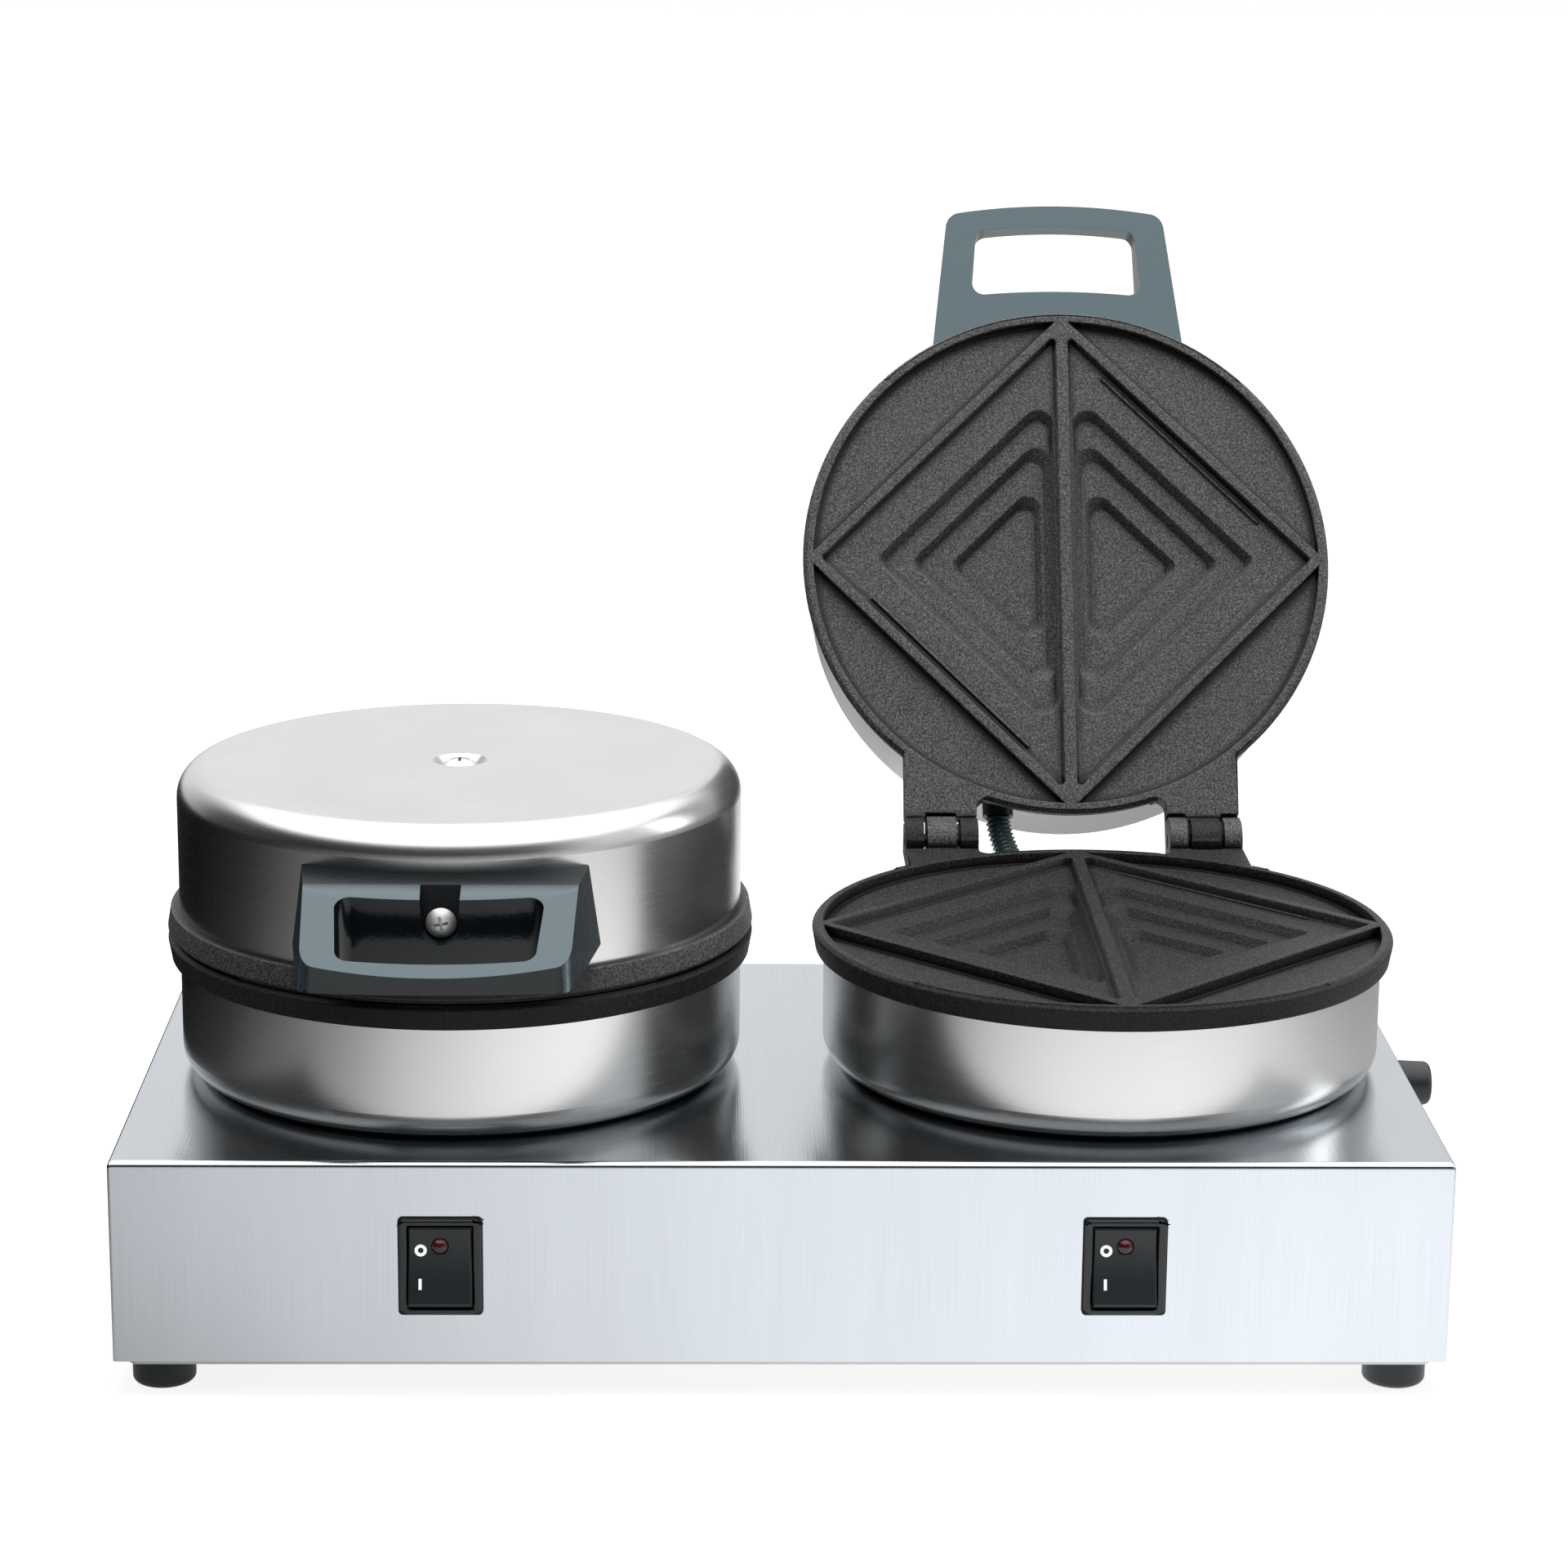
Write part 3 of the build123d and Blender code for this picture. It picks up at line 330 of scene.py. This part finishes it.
def paper_material():
    material = bpy.data.materials.new("floor_paper")
    s = Shader(material)
    x, y, z = s.parts(s.node("NewGeometry", output=0))
    away = (x * x + y * y).math("SQRT")
    pool = s.ease(away, POOL_FROM, POOL_TO, 1.0, POOL_EDGE)
    level = level_round(s, x, y - FLOOR_CENTRE_Y, FLOOR_ROUND) * pool * seen_once(s, FROM_FLOOR)
    mirrored = s.node("Emission", [WHITE, level])
    lit = s.node("Emission", [WHITE, FLOOR_FILL])
    unseen = s.shares(s.node("LightPath", output=DIFFUSE_RAY), mirrored, lit)
    glow = s.node("Emission", [WHITE, PAPER_GLOW])
    paper = s.node("AddShader", [s.node("BsdfDiffuse", [PAPER_GREY]), glow])
    out = s.tree.nodes.new("ShaderNodeOutputMaterial")
    s.tree.links.new(s.shares(s.node("LightPath", output=CAMERA_RAY), unseen, paper).socket, out.inputs[0])
    material.cycles.emission_sampling = "NONE"
    return material


def floor_sweep():
    everything_deselected()
    bpy.ops.mesh.primitive_plane_add(size=SWEEP_SIZE, location=SWEEP_AT)
    sweep = bpy.context.object
    sweep.name = "floor"
    sweep.data.materials.append(paper_material())


floor_sweep()

# %% [markdown]
# ## Steel
# The base is folded from sheet that was brushed before it was cut, so its lines run from front to back over
# the top and straight down the front. The cups are deep-drawn and then satin finished on a lathe, so their
# lines run round them. Both grains are noise stretched almost a hundredfold one way.

# %% Brushed sheet and drawn cups
GRAIN_ACROSS, GRAIN_ALONG = 2600, 30
BLOTCH_ACROSS, BLOTCH_ALONG, BLOTCH_PLANE = 60, 8, 3.0
SIDE_WALL = 0.7
CUP_STEEL = (0.66, 0.66, 0.65), 0.26


def brushed_sheet(name, tint, base_roughness, streak):
    def build(s):
        x, y, z = s.parts(s.place())
        facing = s.parts(s.node("NewGeometry", output=1))
        sideways = facing[0].absolute() > SIDE_WALL
        across = x * (1 - sideways) + z * sideways
        along = (y * 0.7 + z * 0.7) * (1 - sideways) + y * sideways
        fine = s.noise(s.at(across * GRAIN_ACROSS, along * GRAIN_ALONG, 0.0), 1.0, 3.0, 0.6)
        broad = s.noise(s.at(across * BLOTCH_ACROSS, along * BLOTCH_ALONG, BLOTCH_PLANE), 1.0, 2.0, 0.5)
        line = fine * 0.65 + broad * 0.35
        colour = s.mix(line, shade(tint, 0.86), shade(tint, 1.12))
        bump = s.node("Bump", {"Strength": 0.06, "Distance": 0.0004, "Height": fine})
        return {"Base Color": colour, "Roughness": base_roughness + (line - 0.5) * streak, "Normal": bump}
    return finish_of(name, build, Metallic=1.0)


def drawn_cup(name, turned_back=None):
    tint, base_roughness = CUP_STEEL

    def build(s):
        where = s.place()
        if turned_back:
            where = s.node("Mapping", {0: where, 1: turned_back[0], 2: turned_back[1]})
        x, y, z = s.parts(where)
        grain = s.noise(s.at(x * GRAIN_ALONG, y * GRAIN_ALONG, z * GRAIN_ACROSS), 1.0, 3.0, 0.6)
        colour = s.mix(grain, shade(tint, 0.92), shade(tint, 1.06))
        rough = base_roughness + (grain - 0.5) * 0.08
        return {"Base Color": colour, "Roughness": rough}
    return finish_of(name, build, Metallic=1.0)


housing_finish = brushed_sheet("brushed_housing", (0.56, 0.595, 0.635), 0.16, 0.12)
shell_finish = drawn_cup("drawn_steel")

# %% [markdown]
# The right lid stands open, so its grain has to be turned with it. The grain is worked out in the place
# that the lid has when it is closed: a Mapping node turns the open lid's points back about the hinge.

# %% The open lid's grain
def closing(open_angle):
    """The Mapping location and rotation that turn an open lid's points back to closed."""
    turn = Matrix.Rotation(open_angle, 3, "X")
    return tuple(HINGE - turn @ HINGE), (open_angle, 0, 0)


open_shell_finish = drawn_cup("drawn_steel_open_lid", closing(LID_OPEN))


# %% Small metal parts
def plain_metal(name, tint, base_roughness):
    def build(s):
        cloud = s.noise(s.place(), 300.0, 3.0, 0.6)
        return {"Roughness": base_roughness + (cloud - 0.5) * 0.15,
                "Base Color": s.mix(cloud, shade(tint, 0.85), shade(tint, 1.0))}
    return finish_of(name, build, Metallic=1.0)


screw_finish = plain_metal("bright_screw", (0.85, 0.85, 0.83), 0.33)
handle_screw_finish = plain_metal("bright_dome", (0.97, 0.97, 0.95), 0.6)
pin_finish = plain_metal("blackened_pin", (0.06, 0.06, 0.06), 0.45)
floor_plate_finish = plain_metal("mill_sheet", (0.5, 0.51, 0.52), 0.4)
element_finish = plain_metal("oxidised_sheath", (0.3, 0.27, 0.24), 0.5)
brass_finish = plain_metal("terminal_brass", (0.75, 0.62, 0.36), 0.3)

# %% [markdown]
# ## Cast plates
# The plates are cast aluminium with a baked non-stick coating: near black, with fine pale flecks and the
# slight orange peel of a sprayed film. Inner corners are painted darker by an Ambient Occlusion mask,
# which is painted shade, and the lower plates have a thin parting mark at the front of their rims. The
# lower plates take a darker copy of the coating and the upper plates a paler one: painted shade and light.

# %% Coated casting
CREASE_SHADE_REACH, CREASE_SHADE_FROM, CREASE_SHADE_TO, SHADE_AND_PARTING_BLACK = 3.5, 0.7, 0.99, (0.002, 0.002, 0.002, 1)
PARTING_HALF, PARTING_FACES = 0.3, 0.85


def speckled_coating_with_crease_shade(name, dark, pale, shine, parted):
    def build(s):
        where = s.place()
        grain = s.noise(where, 1300.0, 3.0, 0.65)
        fleck = s.noise(where, 1500.0, 3.0, 0.7)
        bright = s.node("MapRange", {0: fleck, 1: 0.42, 2: 0.68, 3: 0.0, 4: 1.0})
        colour = s.mix(bright, rgb(dark, dark, dark), rgb(pale, pale, pale))
        if parted:
            off_centre = (s.parts(where)[0] - place(UNITS_X, 0, 0).x).absolute() - UNIT_OUT * MM
            ahead = s.parts(s.node("NewGeometry", output=1))[1] * -1.0
            parting = (PARTING_HALF * MM - off_centre.absolute() > 0) * (ahead > PARTING_FACES)
            colour = s.mix(parting, colour, SHADE_AND_PARTING_BLACK)
        # Painted shade: the Ambient Occlusion mask blackens the colour in inner corners and creases.
        unshaded_share = s.node("AmbientOcclusion", {"Distance": CREASE_SHADE_REACH * MM}, output=1, samples=8)
        colour = s.mix(s.ease(unshaded_share, CREASE_SHADE_FROM, CREASE_SHADE_TO), SHADE_AND_PARTING_BLACK, colour)
        bump = s.node("Bump", {"Strength": 0.5, "Distance": 0.0003, "Height": grain})
        return {"Base Color": colour, "Roughness": 0.5 + (grain - 0.5) * 0.3, "Normal": bump}
    return finish_of(name, build, Specular_IOR_Level=shine)


# Painted shade and light: the lower plates get a darker copy of the coating, the upper plates a paler one.
lower_casting_shaded_finish = speckled_coating_with_crease_shade("non_stick_lower_shaded_copy", dark=0.004, pale=0.07, shine=0.2, parted=True)
upper_casting_lit_finish = speckled_coating_with_crease_shade("non_stick_upper_lit_copy", dark=0.02, pale=0.26, shine=0.4, parted=False)

# %% [markdown]
# ## Plastics and rubber
# The handles are a slate grey moulding, the switches a near black one, and the feet are rubber. What tells
# them apart is the fineness of the spark-eroded texture and how dull it is.

# %% Mouldings
def moulded(name, tint, base_roughness, texture=0.1, grain_scale=900.0, **more):
    def build(s):
        grain = s.noise(s.place(), grain_scale, 2.0, 0.5)
        bump = s.node("Bump", {"Strength": texture, "Distance": 0.0002, "Height": grain})
        colour = s.mix(grain, shade(tint, 0.85), shade(tint, 1.1))
        return {"Base Color": colour, "Roughness": base_roughness + (grain - 0.5) * 0.1, "Normal": bump}
    return finish_of(name, build, **more)


handle_finish = moulded("handle_moulding", (0.014, 0.022, 0.026), 0.28, Specular_IOR_Level=1.0,
                        Specular_Tint=rgb(0.7, 0.92, 1.0))
# Painted shade: the window's walls are painted darker than the moulding, and the roof and lip get a darker
# copy.
window_gloss_and_shade_finish = moulded("handle_window_gloss_painted_shade", (0.006, 0.009, 0.011), 0.12)
roof_and_lip_shade_finish = moulded("handle_shaded_face", (0.007, 0.010, 0.012), 0.3, Specular_IOR_Level=0.22)
bezel_finish = moulded("switch_bezel_black", (0.01, 0.012, 0.014), 0.3)
rocker_finish = moulded("rocker_black", (0.014, 0.02, 0.023), 0.4)
lens_finish = moulded("neon_red", (0.12, 0.012, 0.018), 0.12)
rubber_finish = moulded("foot_rubber", (0.014, 0.02, 0.022), 0.5, 0.3)
gland_finish = moulded("gland_nylon", (0.02, 0.022, 0.024), 0.45)
washer_finish = moulded("washer_grey", (0.5, 0.51, 0.52), 0.5)
conduit_finish = moulded("conduit_green_black", (0.075, 0.15, 0.155), 0.25,
                         Specular_IOR_Level=1.0, Metallic=0.2)
nylon_finish = moulded("terminal_nylon", (0.7, 0.69, 0.64), 0.5)
# Painted light: the printed white marks also glow by emission, though they are no lamp.
mark_glow_finish = moulded("printed_white_painted_glow", (0.9, 0.9, 0.9), 0.5, Emission_Color=WHITE, Emission_Strength=0.8)

BY_SLOT = {
    "housing_steel": housing_finish, "floor_steel": floor_plate_finish, "screw_steel": screw_finish,
    "pin_steel": pin_finish, "terminal_plastic": nylon_finish, "terminal_brass": brass_finish,
    "gland_plastic": gland_finish, "gland_washer_plastic": washer_finish, "foot_rubber": rubber_finish,
    "switch_plastic": bezel_finish, "rocker_plastic": rocker_finish, "neon_red": lens_finish,
    "lower_shell_steel": shell_finish, "lid_steel": shell_finish, "lower_casting": lower_casting_shaded_finish,
    "upper_casting": upper_casting_lit_finish, "element_steel": element_finish,
    "thermostat_aluminium": floor_plate_finish, "collar_plastic": conduit_finish,
    "conduit_plastic": conduit_finish, "handle_plastic": handle_finish,
}

BY_NODE = {"right_upper_shell": open_shell_finish, "left_handle_screw": handle_screw_finish,
           "right_handle_screw": handle_screw_finish}

# %% Dress the CAD nodes
SLOT_OF = {entry["node"]: entry["material_slot"] for entry in frame["record"]["subparts"]}
for node, slot in SLOT_OF.items():
    mesh = nodes[node].data
    mesh.materials.clear()
    mesh.materials.append(BY_NODE.get(node, BY_SLOT[slot]))
print(len(BY_SLOT), "finishes on", len(SLOT_OF), "nodes")

# %% [markdown]
# ## Softened edges
# Nothing that is cast or moulded has a knife edge, and the thin light line along an edge is what shows its
# form. The CAD solids give the exact shape, so each casting and moulding starts as a copy of its solid:
# loose triangles are merged and paired into flat quads, and a Bevel modifier rounds every edge that turns
# by more than 25 degrees.

# %% Rounding tool
MERGE_DISTANCE = 0.002 * MM
FLAT_WITHIN, EDGE_FROM = math.radians(0.8), math.radians(25)


def softened(node, name, body, width, segments=2, clamp=False):
    """A copy of a CAD node with its sharp edges rounded, which takes the node's place."""
    everything_deselected()
    piece = bpy.data.objects.new(name, nodes[node].data.copy())
    bpy.context.scene.collection.objects.link(piece)
    bpy.context.view_layer.objects.active = piece
    piece.select_set(True)
    bpy.ops.mesh.customdata_custom_splitnormals_clear()
    bpy.ops.object.mode_set(mode="EDIT")
    bpy.ops.mesh.select_all(action="SELECT")
    bpy.ops.mesh.remove_doubles(threshold=MERGE_DISTANCE)
    bpy.ops.mesh.tris_convert_to_quads(face_threshold=FLAT_WITHIN, shape_threshold=math.pi)
    bpy.ops.mesh.vert_connect_concave()
    bpy.ops.object.mode_set(mode="OBJECT")
    bpy.ops.object.shade_smooth()
    rounding = piece.modifiers.new("rounded", "BEVEL")
    rounding.width, rounding.segments = width * MM, segments
    rounding.limit_method, rounding.angle_limit = "ANGLE", EDGE_FROM
    rounding.use_clamp_overlap = clamp
    flats = piece.modifiers.new("flats", "WEIGHTED_NORMAL")
    flats.mode, flats.keep_sharp = "FACE_AREA", False
    for step in ("rounded", "flats"):
        bpy.ops.object.modifier_apply(modifier=step)
    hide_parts(node)
    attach(piece, body)
    print(name, "has", len(piece.data.polygons), "faces")
    return piece


# %% [markdown]
# The handle's mould is polished inside the finger window, and the window's walls are painted darker there
# as shade in the recess. Its roof and lip take a darker copy of the moulding, which is painted shade too.
# The faces are told apart by their place and their direction on the closed lid.

# %% Painted shade on a handle's faces
WINDOW_HALF, WINDOW_FROM, WINDOW_TO = 34.0, 16.0, 46.0
SHELL_FRONT_Y = place(0, -91.0, 0).y
WALL_UP, ROOF_UP, LIP_OUT, LIP_UP = 0.35, 0.97, -0.7, 0.62


def painted_shade_insides(handle, side):
    """Gives the window's walls the polished finish painted darker as shade, and the roof and lip the
    painted shade one.
    """
    turn = Matrix.Rotation(LID_OPEN if side == "right" else 0.0, 3, "X")
    centre_x = place(UNIT_AT[side], 0, 0).x
    handle.data.materials.append(window_gloss_and_shade_finish)
    handle.data.materials.append(roof_and_lip_shade_finish)
    for face in handle.data.polygons:
        _, out, up = turn @ face.normal
        at = turn @ (face.center - HINGE) + HINGE
        depth = (SHELL_FRONT_Y - at.y) / MM
        in_window = abs(at.x - centre_x) < WINDOW_HALF * MM and WINDOW_FROM < depth < WINDOW_TO
        if in_window and abs(up) < WALL_UP:
            face.material_index = 1
        elif up > ROOF_UP or (out < LIP_OUT and up < LIP_UP):
            face.material_index = 2


# %% The rounded pieces
SIDES = ("left", "right")
CASTING_EDGE, HANDLE_EDGE, BEZEL_EDGE, ROCKER_EDGE = 0.45, 0.5, 0.5, 0.35

for side in SIDES:
    softened(f"{side}_lower_plate", f"{side}_lower_casting", "base", CASTING_EDGE)
    softened(f"{side}_upper_plate", f"{side}_upper_casting", f"{side}_lid", CASTING_EDGE)
    handle = softened(f"{side}_handle", f"{side}_handle_moulding", f"{side}_lid", HANDLE_EDGE, clamp=True)
    painted_shade_insides(handle, side)
    softened(f"{side}_switch_bezel", f"{side}_switch_frame", "base", BEZEL_EDGE, 3)

rockers = {}
for side in SIDES:
    rockers[side] = softened(f"{side}_rocker", f"{side}_rocker_cap", f"{side}_switch", ROCKER_EDGE, 3)

# %% [markdown]
# ## The marks on the rockers
# A ring for off and a bar for on are printed on each rocker in white. Each starts as a flat shape in front
# of the rocker, cut from a disc or a plate, and is pressed onto the dished face by Shrinkwrap before it
# gets the thickness of a coat of ink.

# %% Printed marks
SWITCH_AT, SWITCH_Z, IN_FRONT_Y = {"left": -107.0, "right": 107.0}, 44.0, -125
RING_AT, RING_R, RING_WALL = (-6.0, 5.6), 1.9, 1.0
BAR_AT, BAR_SIZE = (-6.2, -4.9), (0.95, 3.3)
INK, INK_GAP, RING_POINTS = 0.06, 0.04, 40
FACE_ON = (math.radians(90), 0, 0)


def pressed_on(mark, rocker, body):
    """Presses a flat mark onto the rocker, gives it a coat's thickness and lets it ride."""
    mark.data.materials.append(mark_glow_finish)
    bpy.ops.object.transform_apply(location=True, rotation=True, scale=True)
    press = mark.modifiers.new("pressed", "SHRINKWRAP")
    press.target, press.wrap_method, press.offset = rocker, "PROJECT", INK_GAP * MM
    press.use_project_y, press.use_positive_direction, press.use_negative_direction = True, True, True
    coat = mark.modifiers.new("coat", "SOLIDIFY")
    coat.thickness, coat.offset = INK * MM, 1
    for step in ("pressed", "coat"):
        bpy.ops.object.modifier_apply(modifier=step)
    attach(mark, body)
    print(mark.name, "has", len(mark.data.polygons), "faces")


def off_mark(side):
    """A flat ring in front of the rocker."""
    everything_deselected()
    at = place(SWITCH_AT[side] + RING_AT[0], IN_FRONT_Y, SWITCH_Z + RING_AT[1])
    bpy.ops.mesh.primitive_circle_add(vertices=RING_POINTS, radius=RING_R * MM, fill_type="NGON",
                                      location=at, rotation=FACE_ON)
    ring = bpy.context.object
    ring.name = f"{side}_off_mark"
    bpy.ops.object.mode_set(mode="EDIT")
    bpy.ops.mesh.inset(thickness=RING_WALL / 2 * MM)
    bpy.ops.mesh.inset(thickness=RING_WALL / 2 * MM)
    bpy.ops.mesh.delete(type="FACE")
    bpy.ops.object.mode_set(mode="OBJECT")
    return ring


def on_mark(side):
    """A flat bar in front of the rocker, with enough points to follow its face."""
    everything_deselected()
    at = place(SWITCH_AT[side] + BAR_AT[0], IN_FRONT_Y, SWITCH_Z + BAR_AT[1])
    bpy.ops.mesh.primitive_plane_add(size=MM, location=at, rotation=FACE_ON)
    bar = bpy.context.object
    bar.name = f"{side}_on_mark"
    bar.scale = (BAR_SIZE[0], BAR_SIZE[1], 1)
    bpy.ops.object.transform_apply(location=False, rotation=False, scale=True)
    bpy.ops.object.mode_set(mode="EDIT")
    bpy.ops.mesh.subdivide(number_cuts=3)
    bpy.ops.object.mode_set(mode="OBJECT")
    return bar


for side in SIDES:
    for mark in (off_mark, on_mark):
        pressed_on(mark(side), rockers[side], f"{side}_switch")

# %% [markdown]
# ## The ribbed conduits
# Each lid's heater is fed through a corrugated hose that bends as the lid turns. One corrugation is a short
# tube whose middle rings are widened. An Array repeats it along a straight line, and a Curve modifier lays
# that line along the route between the two collars. The route is a Bezier curve: straight out of the
# collar, round a bend that ends in line with the lid's collar, and straight in. The hose also bows a
# little to the right, as it does in the photograph.

# %% One corrugation
RIB_PITCH, VALLEY_R, CREST_R, HOSE_SIDES = 1.7, 3.6, 4.6, 28
SWELLS = ((0.25, 0.5), (0.5, 1.0), (0.75, 0.5))
SAME_RING = 1e-6


def ring_selected(mesh, x):
    """Selects only the ring of points at this x, in edit mode."""
    bm = bmesh.from_edit_mesh(mesh)
    for vertex in bm.verts:
        vertex.select = abs(vertex.co.x - x) < SAME_RING
    bm.select_flush_mode()
    bmesh.update_edit_mesh(mesh)


def one_rib(name, pitch):
    """A tube along x, one pitch long, that widens to the crest in the middle."""
    everything_deselected()
    bpy.ops.mesh.primitive_cylinder_add(vertices=HOSE_SIDES, radius=VALLEY_R * MM, depth=pitch,
                                        end_fill_type="NOTHING", location=(pitch / 2, 0, 0),
                                        rotation=(0, math.radians(90), 0))
    rib = bpy.context.object
    rib.name = name
    bpy.ops.object.transform_apply(location=True, rotation=True, scale=True)
    bpy.ops.object.mode_set(mode="EDIT")
    bpy.ops.mesh.select_mode(type="VERT")
    bm = bmesh.from_edit_mesh(rib.data)
    for edge in bm.edges:
        edge.select = abs(edge.verts[0].co.x - edge.verts[1].co.x) > pitch / 2
    bmesh.update_edit_mesh(rib.data)
    bpy.ops.mesh.subdivide(number_cuts=len(SWELLS))
    for share, height in SWELLS:
        swell = 1 + (CREST_R / VALLEY_R - 1) * height
        ring_selected(rib.data, pitch * share)
        bpy.ops.transform.resize(value=(1, swell, swell), center_override=(pitch * share, 0, 0))
    bpy.ops.object.mode_set(mode="OBJECT")
    return rib


# %% Routes and hoses
CONDUIT_X, CONDUIT_START = -25.4, (93.5, 105.7)
CONDUIT_STRAIGHT, CONDUIT_SWAY, BEND_STEPS = 9.0, 5.0, 4
ROUTE_RESOLUTION, JOINED_WITHIN = 24, 0.02


def hose_route(side, radius, turn):
    """A Bezier curve from collar to collar, round a bend of this radius and so many degrees."""
    x, (y0, z0) = UNIT_AT[side] + CONDUIT_X, CONDUIT_START
    arc = math.radians(turn)
    bend = radius * arc
    length = 2 * CONDUIT_STRAIGHT + bend
    shares = [step / BEND_STEPS for step in range(BEND_STEPS + 1)]
    on_bend = [(CONDUIT_STRAIGHT + bend * share, arc * share) for share in shares]
    stations = [(0, 0), *on_bend, (length, arc)]
    reach = radius * math.tan(arc / (4 * BEND_STEPS)) * 4 / 3
    bpy.ops.curve.primitive_bezier_curve_add(location=(0, 0, 0))
    route = bpy.context.object
    route.name = f"{side}_route"
    spline = route.data.splines[0]
    spline.bezier_points.add(len(stations) - 2)
    for index, (run, angle) in enumerate(stations):
        y = y0 + min(run, CONDUIT_STRAIGHT) + radius * math.sin(angle)
        z = z0 + radius * (1 - math.cos(angle))
        if index == len(stations) - 1:
            y, z = y + CONDUIT_STRAIGHT * math.cos(arc), z + CONDUIT_STRAIGHT * math.sin(arc)
        bow = CONDUIT_SWAY * math.sin(math.pi * run / length) ** 2
        lean = CONDUIT_SWAY * math.sin(2 * math.pi * run / length) * math.pi / length
        along = Vector((lean, math.cos(angle), math.sin(angle))) * MM
        point = spline.bezier_points[index]
        point.co = place(x + bow, y, z)
        point.handle_left_type = point.handle_right_type = "FREE"
        before = CONDUIT_STRAIGHT / 3 if index in (1, len(stations) - 1) else reach
        after = CONDUIT_STRAIGHT / 3 if index in (0, len(stations) - 2) else reach
        point.handle_left, point.handle_right = point.co - along * before, point.co + along * after
    route.data.resolution_u = ROUTE_RESOLUTION
    return route, spline.calc_length()


def ribbed_hose(side, radius, turn):
    """The hose on one unit, laid along a route round a bend of this radius and so many degrees."""
    everything_deselected()
    route, length = hose_route(side, radius, turn)
    ribs = round(length / (RIB_PITCH * MM))
    hose = one_rib(f"{side}_ribbed_hose", length / ribs)
    rows = hose.modifiers.new("ribs", "ARRAY")
    rows.count, rows.use_relative_offset, rows.use_constant_offset = ribs, False, True
    rows.constant_offset_displace = (length / ribs, 0, 0)
    rows.use_merge_vertices, rows.merge_threshold = True, JOINED_WITHIN * MM
    bend = hose.modifiers.new("bend", "CURVE")
    bend.object, bend.deform_axis = route, "POS_X"
    for step in ("ribs", "bend"):
        bpy.ops.object.modifier_apply(modifier=step)
    bpy.data.objects.remove(route)
    bpy.ops.object.mode_set(mode="EDIT")
    bpy.ops.mesh.select_all(action="DESELECT")
    bpy.ops.mesh.select_non_manifold()
    bpy.ops.mesh.edge_face_add()
    bpy.ops.mesh.select_all(action="SELECT")
    bpy.ops.mesh.normals_make_consistent(inside=False)
    bpy.ops.object.mode_set(mode="OBJECT")
    bpy.ops.object.shade_smooth()
    hose.data.materials.append(conduit_finish)
    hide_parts(f"{side}_conduit")
    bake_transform(hose)
    print(hose.name, "has", ribs, "ribs over", round(length / MM, 1), "mm")


ribbed_hose("left", radius=19.0, turn=180.0)
ribbed_hose("right", radius=27.3185, turn=61.0)
